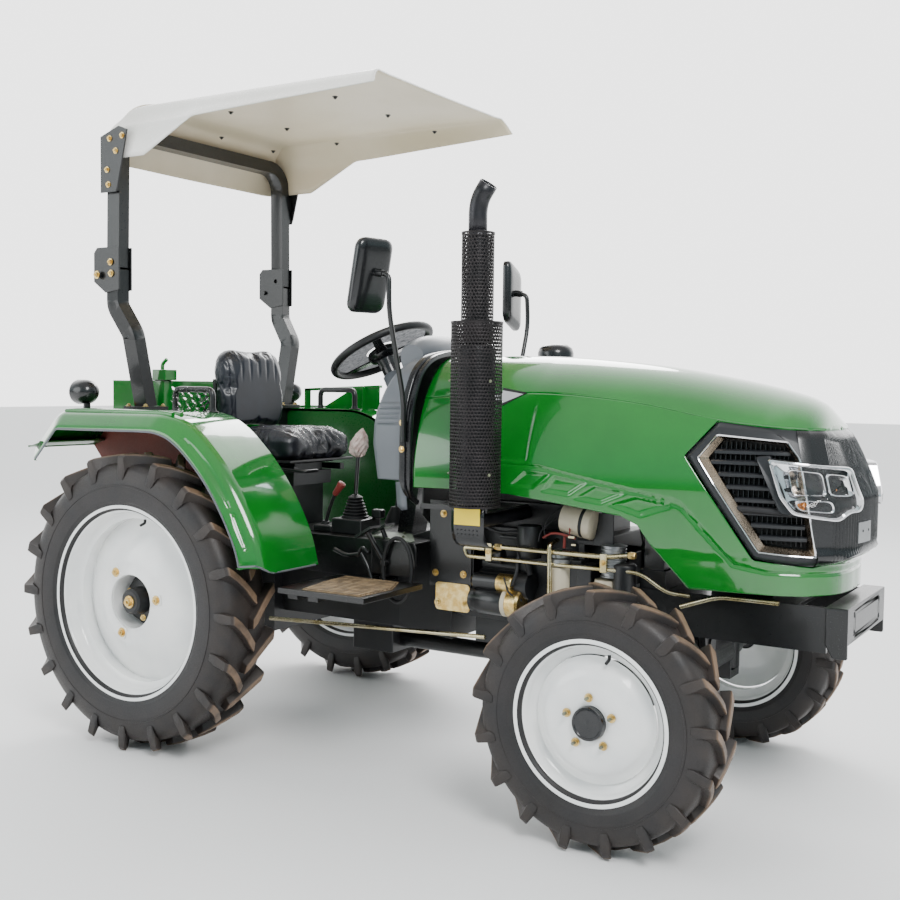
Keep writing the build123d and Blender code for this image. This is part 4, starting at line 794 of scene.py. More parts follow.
def hoodWall(side):
    waist = lambda x: np.interp(x, hood["waistX"], hood["waistZ"])
    maskLow = lambda x: np.interp(x, hood["maskX"], hood["maskLowZ"])
    maskUp = lambda x: np.interp(x, hood["maskUpX"], hood["maskUpZ"])
    grids = [
        wallGrid(hood["rear"], 1.753, lowAt, waist, 190, 40, side),
        wallGrid(hood["rear"], 1.753, waist, creaseAt, 190, 26, side),
        wallGrid(1.753, hood["nose"], lowAt, maskLow, 120, 40, side),
        wallGrid(1.753, 1.837, maskUp, creaseAt, 16, 26, side),
    ]
    return [gridShape(grid) for grid in grids]


# the crowned top between the creases, its edges turned down beside the panel line
def hoodTop(columns=170, half=30):
    along = np.linspace(0, planAlong[-1] - 0.002, columns)
    place, outward = planAt(along)
    creaseZ = creaseAt(place[:, 0])
    edge = place - outward * leanAt(creaseZ, outward[:, 0])[:, None]
    x = edge[:, 0]
    top = np.maximum(smoothCurve(hood["topX"], hood["topZ"], x), creaseZ + 0.0005)
    power = np.interp(x, hood["crownX"], hood["crown"])
    u = np.sin(np.linspace(-1, 1, 2 * half + 1) * np.pi / 2)
    lift = 1 - np.abs(u)[:, None] ** power[None]
    y = edge[:, 1][None] * u[:, None] * (1 - hood["panelLine"] / np.maximum(edge[:, 1], 0.02))[None]
    z = creaseZ[None] + (top - creaseZ)[None] * lift
    main = np.stack([np.broadcast_to(x[None], y.shape), y, z], -1)
    lipLow = main[:1] + np.array([0, 0.002, -0.010])
    lipHigh = main[-1:] + np.array([0, -0.002, -0.010])
    return np.concatenate([lipLow, main, lipHigh])


hoodSides = hoodWall(-1) + hoodWall(1)
makePiece("hoodSides", hoodSides, "greenEnamel", "hood_lid", sharp=40, wall=hood["wall"],
          stands=["hood"])
makePiece("hoodTop", [gridShape(hoodTop())], "greenEnamel", "hood_lid", sharp=45, wall=hood["wall"])
# dark strip under the panel line, so that the gap reads black: a black sheet as painted shade inside the gap


def gapShadeStrip(side):
    along = np.linspace(0, planAlong[-1] - 0.004, 120)
    x = planAt(along)[0][:, 0]
    z = creaseAt(x)
    rows = [wallPoint(along, z + up, side, -out) for up, out in ((-0.014, 0.006), (0.004, 0.007), (0.006, 0.018))]
    return gridShape(np.stack(rows))


# the black strip is painted shade in the panel gap
makePiece("hoodPanelGapShade", bothSides(gapShadeStrip), "blackRubber", "hood_lid", wall=0.002)
print("stage: hood")


# the mask: a black band round an opening on each flank, joined by a ribbed nose
mask = dict(
    outer=[(1.757, 1.033), (1.840, 1.130), (1.960, 1.117), (2.062, 1.1115), (2.114, 0.742), (1.955, 0.757)],
    frameOuter=[(1.791, 1.027), (1.841, 1.094), (2.036, 1.080), (2.070, 1.032), (2.111, 0.769), (1.966, 0.777)],
    frameInner=[(1.817, 1.027), (1.857, 1.082), (2.028, 1.070), (2.056, 1.030), (2.098, 0.787), (1.979, 0.795)],
    bars=[1.047, 1.018, 0.985, 0.951, 0.917, 0.883, 0.850, 0.817], barHeight=0.014,
    ribPitch=0.010, ribHeight=0.0019,
    # the nose starts along the frames' front sides: x at height
    noseEdge=[(0.742, 2.113), (0.769, 2.111), (1.032, 2.070), (1.112, 2.058)],
)


# a closed loop round an outline: each corner is a quadratic blend, each run has even points
def loopPoints(outline, blend=0.006, perEdge=8, steps=4):
    outline = np.asarray(outline, float)
    before, after = np.roll(outline, 1, axis=0), np.roll(outline, -1, axis=0)
    toBefore, toAfter = before - outline, after - outline
    lengthB, lengthA = np.linalg.norm(toBefore, axis=1), np.linalg.norm(toAfter, axis=1)
    start = outline + toBefore * (np.minimum(blend, 0.45 * lengthB) / lengthB)[:, None]
    end = outline + toAfter * (np.minimum(blend, 0.45 * lengthA) / lengthA)[:, None]
    s = np.linspace(0, 1, steps)[None, :, None]
    corner = start[:, None] * (1 - s) ** 2 + 2 * outline[:, None] * s * (1 - s) + end[:, None] * s ** 2
    t = (np.arange(1, perEdge + 1) / (perEdge + 1))[None, :, None]
    run = end[:, None] * (1 - t) + np.roll(start, -1, axis=0)[:, None] * t
    return np.concatenate([corner, run], 1).reshape(-1, outline.shape[1])


# moves each edge of an outline inwards by an amount and meets the neighbours again
def shrinkOutline(outline, amount):
    outline = np.asarray(outline, float)
    edge = np.roll(outline, -1, axis=0) - outline
    edge /= np.linalg.norm(edge, axis=1)[:, None]
    turn = np.sign(np.sum(outline[:, 0] * np.roll(outline[:, 1], -1) - np.roll(outline[:, 0], -1) * outline[:, 1]))
    inner = np.stack([-edge[:, 1], edge[:, 0]], 1) * turn * amount
    back, backInner = np.roll(edge, 1, axis=0), np.roll(inner, 1, axis=0)
    cross = back[:, 0] * edge[:, 1] - back[:, 1] * edge[:, 0]
    gap = inner - backInner
    along = (gap[:, 0] * edge[:, 1] - gap[:, 1] * edge[:, 0]) / np.where(np.abs(cross) < 0.05, 1, cross)
    return outline + backInner + back * np.where(np.abs(cross) < 0.05, 0, along)[:, None]


# an outline of (x, z) laid on the wall: rows are loops, each with its distance off the wall
def wallRings(outlines, outs, side, blend=0.006, perEdge=8, fill=False, lean=1.0):
    loops = [loopPoints(outline, blend, perEdge) for outline in outlines]
    rows = []
    for loop, out in zip(loops, outs):
        along, z = alongAtX(loop[:, 0]), loop[:, 1]
        extra = (1 - lean) * leanAt(z, planAt(along)[1][:, 0])
        rows.append(wallPoint(along, z, side, out + extra))
    if fill:
        centre = rows[-1].mean(0)
        rows += [centre + (rows[-1] - centre) * share for share in (0.75, 0.5, 0.25, 0.01)]
    return gridShape(np.stack(rows), closedColumns=True)


def maskBand(side):
    outer, inner = mask["outer"], mask["frameOuter"]
    step = lambda share: [(a[0] * (1 - share) + b[0] * share, a[1] * (1 - share) + b[1] * share)
                          for a, b in zip(outer, inner)]
    return wallRings([step(s) for s in (0, 0, 0.06, 0.42, 0.5, 1.0)], [-0.016, -0.006, -0.003, 0.007, 0.008, 0.008],
                     side)


def chromeFrame(side):
    outer = mask["frameOuter"]
    return wallRings([outer] + [shrinkOutline(outer, amount) for amount in (0, 0.002, 0.004, 0.005)],
                     [-0.004, 0.010, 0.012, 0.011, 0.008], side)


# the frame's inner side: a slope from its bright edge down to the louvres
def frameSlope(side):
    outer, inner = mask["frameOuter"], mask["frameInner"]
    return wallRings([shrinkOutline(outer, 0.005), inner, inner], [0.008, -0.012, -0.040], side)


# louvre bars: each follows the wall between the frame's two sides, a slab that slopes outwards and down
def louvreBars(side):
    inner = np.array(mask["frameInner"])
    shapes = []
    for z in mask["bars"]:
        cuts = [a[0] + (z - a[1]) / (b[1] - a[1]) * (b[0] - a[0]) for a, b in zip(inner, np.roll(inner, -1, axis=0))
                if (a[1] - z) * (b[1] - z) < 0]
        along = np.linspace(alongAtX(min(cuts) + 0.001), alongAtX(max(cuts) - 0.001), 14)
        half = mask["barHeight"] / 2
        section = [(-0.040, half), (-0.016, half * 0.75), (-0.012, half * 0.2), (-0.013, -half), (-0.040, -half * 0.6)]
        rows = [wallPoint(along, np.full(14, z + up), side, out) for out, up in section]
        shapes.append(gridShape(np.stack(rows, 1), closedColumns=True, capRows=True))
    return join(shapes)


# upright slats behind the bars: short plates at an even pitch, clipped to the opening
def louvreSlats(side):
    shapes = []
    for x in np.arange(1.835, 2.095, 0.0135):
        z = np.linspace(0.79, 1.078, 60)
        inside = insideBy(np.full(60, x), z, mask["frameInner"]) > 0.004
        if inside.sum() < 3:
            continue
        ends = np.array([z[inside].min(), z[inside].max()])
        along = alongAtX(x)
        rows = [wallPoint(np.array([along + a, along + a]), ends, side, out)
                for a, out in ((-0.001, -0.044), (-0.001, -0.024), (0.001, -0.024), (0.001, -0.044))]
        shapes.append(gridShape(np.stack(rows, 1), closedColumns=True, capRows=True))
    return join(shapes)


def louvreBack(side):
    outline = shrinkOutline(mask["frameInner"], -0.004)
    return wallRings([outline, outline], [-0.042, -0.045], side, fill=True)


# the nose: from the frames round the front, upright ribs over a plain border; it rises from
# its edge by an eased step
def maskNose():
    count = 230
    edge = np.array(mask["noseEdge"])
    share = np.linspace(0, 1, count)
    first = alongAtX(edge[0, 1])
    along = first + (planAlong[-1] - first) * share
    zLow, zHigh = 0.744 + 0.028 * ease(along, first, planAlong[-1] - 0.05), np.full(count, 1.1105)
    t = np.concatenate([[0, 0], np.linspace(0.012, 0.988, 34), [1, 1]])[:, None]
    z = zLow[None] * (1 - t) + zHigh[None] * t
    start = alongAtX(np.interp(z[:, :1], edge[:, 0], edge[:, 1]))
    a = start + (planAlong[-1] - start) * share[None]
    fromEdge = np.minimum(z - zLow, zHigh - z)
    rib = mask["ribHeight"] * np.cos(2 * np.pi * (planAlong[-1] - a) / mask["ribPitch"])
    ribbed = ease(a, first + 0.034, first + 0.040) * ease(fromEdge, 0.022, 0.030)
    out = 0.008 * ease(fromEdge, 0.0, 0.016) + rib * ribbed - 0.004 * (1 - ease(fromEdge, 0, 0.004)) + 0.006 * (
        1 - ease(z, 0.775, 0.79))
    out[0] -= 0.014
    out[-1] -= 0.014
    near, far = wallPoint(a, z, -1, out), wallPoint(a, z, 1, out)
    return gridShape(np.concatenate([near, far[:, -2::-1]], 1))


makePiece("maskBand", bothSides(maskBand), "charcoalAbs", "hood_lid", sharp=30, stands=["mask"])
makePiece("maskChromeFrames", bothSides(chromeFrame), "chromePlate", "hood_lid", sharp=30)
# the frame slopes' warm brown chrome is a painted reflection of the ground
makePiece("maskFrameSlopes", bothSides(frameSlope), "satinChromePaintedGround", "hood_lid", sharp=30)
makePiece("maskLouvres", bothSides(louvreBars), "charcoalAbs", "hood_lid", bevel=0.001)
makePiece("maskSlats", bothSides(louvreSlats), "blackAbs", "hood_lid")
makePiece("maskBack", bothSides(louvreBack), "blackRubber", "hood_lid", wall=0.003)
makePiece("maskNose", [maskNose()], "blackAbs", "hood_lid", sharp=50, wall=0.003)
print("stage: mask")


# headlamps: a bezel that stands proud of the mask, reflector bowls and a clear crowned cover
lamp = dict(
    outline=[(1.985, 1.034), (2.176, 1.014), (2.190, 0.918), (2.187, 0.889), (2.171, 0.891), (2.152, 0.866),
             (2.050, 0.884), (2.018, 0.929)],
    main=[(2.035, 1.008), (2.118, 0.999), (2.128, 0.936), (2.049, 0.936)],
    second=[(2.124, 0.998), (2.170, 0.992), (2.180, 0.933), (2.133, 0.936)],
    turn=[(2.052, 0.925), (2.140, 0.924), (2.146, 0.888), (2.064, 0.896)],
    proud=0.020, lean=0.35, back=-0.030,
)


def lampLoop(shape, amount, out, side, **more):
    return wallRings([shrinkOutline(shape, a) for a in amount], out, side, lean=lamp["lean"], **more)


def lampBezel(side):
    p = lamp["proud"]
    return lampLoop(lamp["outline"], [0, 0, 0.002, 0.006, 0.010, 0.012, 0.013],
                    [lamp["back"], p - 0.004, p, p + 0.001, p - 0.003, -0.010, lamp["back"]], side, blend=0.012)


def lampBowls(side):
    shapes = []
    for name, deep in (("main", 0.034), ("second", 0.030), ("turn", 0.022)):
        rim = lamp["proud"] - 0.010
        share = np.array([0, 0.0015, 0.003, 0.008, 0.014, 0.018])
        sink = np.array([-0.002, 0.001, 0.0, -0.45 * deep, -0.85 * deep, -deep])
        shapes.append(lampLoop(lamp[name], share, rim + sink, side, blend=0.012, fill=True))
    return join(shapes)


def lampFloor(side):
    return lampLoop(lamp["outline"], [0.011, 0.012], [lamp["proud"] - 0.032] * 2, side, blend=0.012, fill=True)


def lampCover(side):
    p = lamp["proud"]
    return lampLoop(lamp["outline"], [0.0035, 0.005, 0.012, 0.022], [p - 0.001, p + 0.002, p + 0.0035, p + 0.0045],
                    side, blend=0.012, fill=True)


def lampPlace(x, z, side, out):
    along = alongAtX(x)
    return wallPoint(np.array([along]), np.array([z]), side, out)[0]


def lampBulbs(side):
    shapes = []
    for name, radius in (("main", 0.011), ("second", 0.007)):
        x, z = np.mean(lamp[name], axis=0)
        base, tip = lampPlace(x, z, side, -0.024), lampPlace(x, z, side, 0.006)
        shapes.append(latheShape(base, tip - base,
                                 [(0, radius), (0.018, radius), (0.024, radius * 0.8), (0.028, radius * 0.3)], 20))
    return join(shapes)


def lampAmber(side):
    shapes = []
    for x, z, size in ((2.145, 0.975, 0.008), (2.150, 0.952, 0.006), (2.080, 0.912, 0.007)):
        base, tip = lampPlace(x, z, side, -0.016), lampPlace(x, z, side, 0.010)
        shapes.append(latheShape(base, tip - base,
                                 [(0, size), (0.012, size), (0.020, size * 0.7), (0.023, size * 0.2)], 16))
    return join(shapes)


makePiece("headlampBezels", bothSides(lampBezel), "chromePlate", "hood_lid", sharp=35,
          stands=["headlamps"])
makePiece("headlampBowls", bothSides(lampBowls), "lampReflector", "hood_lid", sharp=35)
makePiece("headlampFloors", bothSides(lampFloor), "lampReflector", "hood_lid")
makePiece("headlampCovers", bothSides(lampCover), "clearPolycarbonate", "hood_lid", wall=0.0015)
makePiece("headlampBulbs", bothSides(lampBulbs), "whiteEnamel", "hood_lid", "lamp_lens")
makePiece("headlampAmbers", bothSides(lampAmber), "amberAcrylic", "hood_lid")
# moulded brackets that carry the lamps past the louvres
makePiece("lampBrackets", bothSides(lambda side: wallRings(
    [[(1.950, 1.036), (1.990, 1.040), (2.052, 0.880), (2.020, 0.886)]] * 2 + [
        [(1.953, 1.033), (1.988, 1.036), (2.049, 0.883), (2.022, 0.889)]], [-0.040, 0.006, 0.009], side, blend=0.008,
    fill=True)), "charcoalAbs", "hood_lid")
# a small bright plate with two holes between the lamps, left blank
plateAlong = np.linspace(planAlong[-1] - 0.120, planAlong[-1] - 0.030, 12)
plateRows = [wallPoint(plateAlong, np.full(12, z), -1, np.full(12, out)) for z, out in
             ((0.806, 0.006), (0.806, 0.0125), (0.862, 0.0125), (0.862, 0.006))]
makePiece("nosePlate", [gridShape(np.stack(plateRows, 1), closedColumns=True, capRows=True)], "castAluminium",
          "hood_lid", bevel=0.001)
plateHoles = [wallPoint(np.array([along, along]), np.array([0.838, 0.838]), -1, np.array([0.012, 0.0135]))
              for along in (planAlong[-1] - 0.095, planAlong[-1] - 0.052)]
makePiece("nosePlateHoles", [latheShape(near, far - near, [(0, 0.0035), (0.0014, 0.0035)], 16)
                             for near, far in plateHoles],
          "blackRubber", "hood_lid")
print("stage: headlamps")


# Canopy. One laminate sheet: a fall from the flat top to the lower edge is carried round three sides
# and cut at the lower edge's height; straight lines run inwards to a middle line.
canopy = dict(
    front=0.784, rear=-0.378, half=0.475, corner=0.075, cornerShare=0.14, top=2.1860, frontRake=0.4, wall=0.005,
    sideFall=[(0.110, 2.1880), (0.085, 2.188), (0.060, 2.170), (0.037, 2.142), (0.018, 2.122), (0.007, 2.105),
              (0.002, 2.070), (0.000, 1.990)],
    rearFall=[(0.200, 2.1880), (0.150, 2.187), (0.108, 2.172), (0.075, 2.140), (0.045, 2.100), (0.025, 2.068),
              (0.008, 2.025), (0.000, 1.990)],
    edgeX=[-0.378, -0.153, 0.073, 0.801], edgeZ=[1.9985, 1.9985, 2.110, 2.142],
)


def canopySheet():
    c = canopy
    corner = np.array([(c["front"], -c["half"]), (c["rear"], -c["half"]), (c["rear"], c["half"]),
                       (c["front"], c["half"])])
    way = roundWay(corner, c["corner"], 18)
    run = lambda a, b, n: np.linspace(a, b, n)[1:-1]
    way = np.concatenate([way[:1], run(way[0], way[1], 60), way[1:19], run(way[18], way[19], 40), way[19:37],
                          run(way[36], way[37], 60), way[37:]])
    step = np.gradient(way, axis=0)
    step /= np.linalg.norm(step, axis=1)[:, None]
    inner = np.stack([-step[:, 1], step[:, 0]], 1)
    inner *= np.sign(np.sum(inner * (np.array([0.2, 0.0]) - way), axis=1))[:, None]
    rearness = np.clip(inner[:, 0], 0, 1) ** 2
    fall = (np.array(c["sideFall"])[None] * (1 - rearness)[:, None, None]
            + np.array(c["rearFall"])[None] * rearness[:, None, None])
    low = np.interp(way[:, 0], c["edgeX"], c["edgeZ"])
    places = np.linspace(0, 1, fall.shape[1])
    fine = np.linspace(0, 1, 160)
    curve = smoothCurve(places, np.moveaxis(fall, 1, 0).reshape(len(places), -1), fine).reshape(160, -1, 2)
    cut = np.array([np.interp(-l, -curve[:, i, 1], fine) for i, l in enumerate(low)])
    t = np.linspace(0, 1, 30)[:, None] * cut[None]
    pick = lambda k: np.stack([np.interp(t[:, i], fine, curve[:, i, k]) for i in range(len(way))], 1)
    inset, z = pick(0), pick(1)
    flat = way[None] + inner[None] * inset[..., None]
    # near the rear corners a row stays outside the lines that the straight sides' rows reach
    tail = np.argmin(np.abs(way[:, 1]) + 9 * (way[:, 0] > 0))
    flank = np.argmin(np.abs(way[:, 0] - 0.2) + 9 * (way[:, 1] < 0))
    rearLimit, sideLimit = c["rear"] + inset[:, tail, None], c["half"] - inset[:, flank, None]
    flat[..., 0] = np.maximum(flat[..., 0],
                              rearLimit + c["cornerShare"] * (np.minimum(way[None, :, 0], rearLimit) - rearLimit))
    wide = np.minimum(np.abs(flat[..., 1]),
                      sideLimit + c["cornerShare"] * (np.maximum(np.abs(way[None, :, 1]), sideLimit) - sideLimit))
    flat[..., 1] = np.sign(way[None, :, 1]) * wide
    spine = np.stack([np.clip(flat[0, :, 0], -0.02, c["front"]), np.zeros(len(way))], 1)
    share = np.linspace(1, 0, 12)[:-1][:, None, None]
    middle = flat[:1] * (1 - share) + spine[None] * share
    middle = np.concatenate([middle, np.full((*middle.shape[:2], 1), c["top"])], -1)
    sides = np.concatenate([flat, z[..., None]], -1)
    grid = np.concatenate([middle, sides])
    grid[..., 0] += (c["top"] - grid[..., 2]) * c["frontRake"] * ease(grid[..., 0], 0.4, c["front"])
    wave = 0.0015 * np.sin(grid[..., 0] * 5.1 + 1) * np.cos(grid[..., 1] * 6.3)
    grid[..., 2] += wave * ease(c["half"] - np.abs(grid[..., 1]), 0.1, 0.3)
    return gridShape(grid[::-1])


roof = makePiece("canopySheet", [canopySheet()], "whiteGelCoat", "roll_hoop", sharp=60, stands=["canopy"])
roof.data.materials.append(finish["creamLaminate"])
wall = roof.modifiers.new("wall", "SOLIDIFY")
wall.thickness, wall.offset, wall.material_offset = canopy["wall"], -1.0, 1
print("stage: canopy")


# Fenders. The sheet follows the crown's line from the front foot over the wheel to the tail; across, it
# is flat and then falls by a rounded fold to the outer edge. Leaf-shaped grooves are pressed
# into the fall.
fender = dict(
    arc=[(0.560, 0.632), (0.533, 0.725), (0.489, 0.812), (0.440, 0.888), (0.384, 0.958), (0.320, 1.020), (0.262, 1.066),
         (0.200, 1.099), (0.130, 1.116), (0.060, 1.1185)],
    top=1.115, tailX=-0.365, tail=(-0.491, 0.985), outer=0.690,
    across=[(0.385, 0.0), (0.450, -0.0005), (0.560, -0.0005), (0.628, 0.0), (0.645, 0.003), (0.657, 0.012),
            (0.668, 0.026), (0.680, 0.042), (0.687, 0.052), (0.690, 0.062)],
    leaves=[(0.235, 0.545), (0.085, 0.220)], leafHalf=0.010, leafDeep=0.0045, wall=0.004,
)


def fenderPaths():
    f = fender
    arc = np.array(f["arc"])
    along = np.concatenate([[0], np.cumsum(np.linalg.norm(np.diff(arc, axis=0), axis=1))])
    arc = smoothCurve(along, arc, np.linspace(0, along[-1], 80))
    tail = roundWay([(0.0, f["top"] + 0.002), (f["tailX"], f["top"]), f["tail"]], 0.035, 10)
    line = np.concatenate([arc, tail[1:]])
    along = np.concatenate([[0], np.cumsum(np.linalg.norm(np.diff(line, axis=0), axis=1))])
    s = np.linspace(0, along[-1], 230)
    line = np.stack([np.interp(s, along, line[:, 0]), np.interp(s, along, line[:, 1])], 1)
    step = np.gradient(line, axis=0)
    step /= np.linalg.norm(step, axis=1)[:, None]
    return s, line, np.stack([step[:, 1], -step[:, 0]], 1)


fenderAlong, fenderLine, fenderOut = fenderPaths()


def fenderSheet(side):
    f = fender
    across = np.array(f["across"])
    width = np.concatenate([[0], np.cumsum(np.linalg.norm(np.diff(across, axis=0), axis=1))])
    fine = np.linspace(0, width[-1], 60)
    profile = np.stack([np.interp(fine, width, across[:, 0]), np.interp(fine, width, across[:, 1])], 1)
    y = np.broadcast_to(profile[:, 0], (len(fenderLine), 60)).copy()
    inset = np.broadcast_to(profile[:, 1], y.shape).copy()
    middle = inset - 0.032
    for low, high in f["leaves"]:
        share = (fenderAlong - low) / (high - low)
        reach = np.clip(1 - (2 * share - 1) ** 2, 0, 1) ** 0.5 * f["leafHalf"]
        deep = f["leafDeep"] * (1 - ease(np.abs(middle) / np.maximum(reach[:, None], 0.0005), 0.3,
                                         1.0)) * (reach[:, None] > 0)
        y -= deep * 0.75
        inset += deep * 0.65
    grid = np.stack([fenderLine[:, None, 0] - fenderOut[:, None, 0] * inset, side * y,
                     fenderLine[:, None, 1] - fenderOut[:, None, 1] * inset], -1)
    foot = (1 - ease(fenderAlong, 0.0, 0.06))[:, None] * 0.030 * ease(y, 0.60, 0.69)
    grid[..., 2] += foot
    grid[..., 0] -= foot * 0.3
    lip = grid[:1] + np.array([-0.010, 0, 0.002])
    tail = grid[-1:] + np.array([0.012, 0, -0.003])
    inner = grid[:, :1] - np.stack([fenderOut[:, 0], fenderOut[:, 0] * 0, fenderOut[:, 1]], -1)[:, None] * 0.012
    grid = np.concatenate([inner, grid], 1)
    lip = np.concatenate([lip[:, :1], lip], 1)
    tail = np.concatenate([tail[:, :1], tail], 1)
    return gridShape(np.concatenate([lip, grid, tail]))


# the rolled edge: a bead of grey edging along the sheet's outer border
def fenderBead(side):
    inset = fender["across"][-1][1]
    way = np.stack([fenderLine[:, 0] - fenderOut[:, 0] * inset, np.full(len(fenderLine), side * 0.6895),
                    fenderLine[:, 1] - fenderOut[:, 1] * inset], 1)
    way[:, 2] += (1 - ease(fenderAlong, 0.0, 0.06)) * 0.030
    way[:, 0] -= (1 - ease(fenderAlong, 0.0, 0.06)) * 0.009
    across = np.linspace(0.68, 0.40, 16)
    front = np.stack([np.interp(across, [0.385, 0.60, 0.69], [0.560, 0.558, 0.548]), side * across,
                      0.632 + 0.030 * ease(across, 0.60, 0.69)], 1)
    return sweepShape(np.concatenate([front[::-1], way[2:]]), circleOutline(0.0032, 8), up=(0, side, 0.02))


def fenderWall(side, low, high, shrink=0.0):
    under = [(-0.489, 0.985), (-0.330, 0.800), (-0.250, 0.640), (-0.120, 0.575), (0.120, 0.575), (0.250, 0.600),
             (0.520, 0.620)]
    line = fenderLine - fenderOut * (0.003 + shrink)
    outline = [(x, side * low, z) for x, z in line[::3]] + [(x, side * low, z) for x, z in under]
    return plateShape(outline, (0, side * (high - low), 0))


makePiece("fenderSheets", bothSides(fenderSheet), "greenEnamel", sharp=50,
          wall=fender["wall"], stands=["fender_right", "fender_left"])
makePiece("fenderEdging", bothSides(fenderBead), "greyAbs")
# the inner walls and the tail flanges take the darker green, which is painted shade
makePiece("fenderWalls", bothSides(lambda side: fenderWall(side, 0.385, 0.388)), "greenEnamelShadeAndDust")
makePiece("fenderPrimer", bothSides(lambda side: fenderWall(side, 0.3882, 0.3905, 0.004)), "redPrimer")
makePiece("fenderTailFlanges", bothSides(lambda side: gridShape(np.array([
    [(x, side * y, z) for y in np.linspace(0.392, 0.684, 8)]
    for x, z in ((-0.488, 0.990), (-0.486, 0.984), (-0.430, 1.000), (-0.424, 1.006))]))),
          "greenEnamelShadeAndDust", wall=0.003)
print("stage: fenders")


# Cowl and arch. The arch's line runs up the flank, over the shoulder and across the crown. The arch is a
# moulded section carried along it, and the cowl is the same line carried back to its rear
# edge, drawn in towards it by a quarter circle.
arch = dict(
    line=[(0.345, 0.918), (0.3452, 0.980), (0.345, 1.050), (0.342, 1.110), (0.330, 1.165), (0.309, 1.215),
          (0.284, 1.257), (0.249, 1.287), (0.209, 1.307), (0.150, 1.320), (0.076, 1.3275), (0.0, 1.3295)],
    front=0.890, rear=0.848,
    section=[(0.848, -0.010), (0.848, 0.003), (0.850, 0.0055), (0.866, 0.0055), (0.869, 0.003), (0.871, -0.002),
             (0.875, -0.002), (0.877, 0.003), (0.879, 0.0045), (0.888, 0.0035), (0.890, 0.001), (0.890, -0.010)],
    tail=[(0.343, 0.900), (0.325, 0.868), (0.285, 0.842)],
)


def archLine(count, extra=()):
    half = np.array(list(extra)[::-1] + arch["line"])
    full = np.concatenate([half, half[-2::-1] * (-1, 1)])
    along = np.concatenate([[0], np.cumsum(np.linalg.norm(np.diff(full, axis=0), axis=1))])
    s = np.linspace(0, along[-1], count)
    line = smoothCurve(along, full, s)
    step = (smoothCurve(along, full, np.minimum(s + 0.001, along[-1]))
            - smoothCurve(along, full, np.maximum(s - 0.001, 0)))
    step /= np.linalg.norm(step, axis=1)[:, None]
    return line, np.stack([step[:, 1], -step[:, 0]], 1)


def archShape():
    line, out = archLine(200, arch["tail"])
    section = np.array(arch["section"])
    thin = np.clip(np.minimum(np.arange(200), np.arange(200)[::-1]) / 14, 0.25, 1)[:, None]
    flat = line[:, None] + out[:, None] * section[None, :, 1:]
    x = arch["rear"] + 0.03 * (1 - thin) + (section[None, :, 0] - arch["rear"]) * thin
    grid = np.concatenate([np.broadcast_to(x[..., None], (*flat.shape[:2], 1)), flat], -1)
    return gridShape(grid, closedColumns=True, capRows=True)


cowl = dict(
    rearZ=[0.909, 0.985, 1.030, 1.090, 1.130, 1.210, 1.270, 1.310, 1.330],
    rearX=[0.748, 0.736, 0.729, 0.731, 0.735, 0.752, 0.772, 0.786, 0.790],
    round=0.022, inset=0.004, ribZ=[1.160, 1.145, 1.129, 1.113, 1.097], ribX=(0.760, 0.832), ribHigh=0.005,
    ribHalf=0.0028,
)


def cowlShape():
    line, out = archLine(300)
    t = np.linspace(0, 1, 30)[None]
    rear = np.interp(line[:, 1], cowl["rearZ"], cowl["rearX"])[:, None]
    x = 0.852 + (rear - 0.852) * t
    nearRear = np.clip((rear + cowl["round"] - x) / cowl["round"], 0, 1)
    inset = cowl["inset"] + cowl["round"] * (1 - np.sqrt(1 - nearRear ** 2)) + 0.006 * t
    z = line[:, None, 1]
    flank = ease(np.abs(line[:, None, 0]), 0.30, 0.325)
    for rib in cowl["ribZ"]:
        inset = inset - cowl["ribHigh"] * (1 - ease(np.abs(z - rib), 0.0008, cowl["ribHalf"])) * flank * (
            ease(x, cowl["ribX"][0] - 0.008, cowl["ribX"][0]) * (1 - ease(x, cowl["ribX"][1], cowl["ribX"][1] + 0.006)))
    flat = line[:, None] - out[:, None] * inset[..., None]
    return gridShape(np.concatenate([x[..., None], flat], -1))


# the instrument hump: its side outline carried across, drawn in towards both flanks
def humpShape():
    outline = np.array([(0.852, 1.318), (0.840, 1.352), (0.800, 1.382), (0.760, 1.386), (0.712, 1.364), (0.692, 1.338),
                        (0.697, 1.290), (0.705, 1.262), (0.745, 1.245), (0.790, 1.285)])
    loop = loopPoints(outline, 0.022, 5, 5)
    centre = np.array([0.785, 1.300])
    y = np.linspace(-1, 1, 41)
    share = (1 - np.abs(y) ** 3.2 * 0.42)[:, None, None]
    flat = centre + (loop[None] - centre) * share
    across = np.broadcast_to(y[:, None] * 0.175, flat.shape[:2])
    grid = np.stack([flat[..., 0], across, flat[..., 1]], -1)
    return gridShape(grid, closedColumns=True, capRows=True)


makePiece("archMoulding", [archShape()], "blackAbs", sharp=42, stands=["cowl_arch"])
makePiece("cowlShell", [cowlShape()], "greyAbs", sharp=50, wall=0.0035, stands=["cowl"])
makePiece("cowlHump", [humpShape()], "greyAbs", sharp=50)
archWay = archLine(80)[0]
makePiece("fireWall", [plateShape([(0.838, y * 0.97, 0.909 + (z - 0.909) * 0.985) for y, z in archWay], (0.006, 0, 0)),
                       plateShape([(0.838, y, z)
                                   for y, z in ((-0.2, 0.91), (0.2, 0.91), (0.2, 0.80), (0.12, 0.74), (-0.12, 0.74),
                                                (-0.2, 0.80))],
                                  (0.006, 0, 0))], "blackEnamel")
makePiece("cowlFlaps", bothSides(lambda side: gridShape(np.array([[(x, side * (0.338 - 0.010 * t), z0 + (z1 - z0) * t)
          for t in np.linspace(0, 1, 6)]
         for x, z0, z1 in ((0.828, 0.912, 0.835), (0.846, 0.912, 0.822), (0.866, 0.905, 0.826))]))),
          "greyAbs", wall=0.003)
print("stage: cowl")

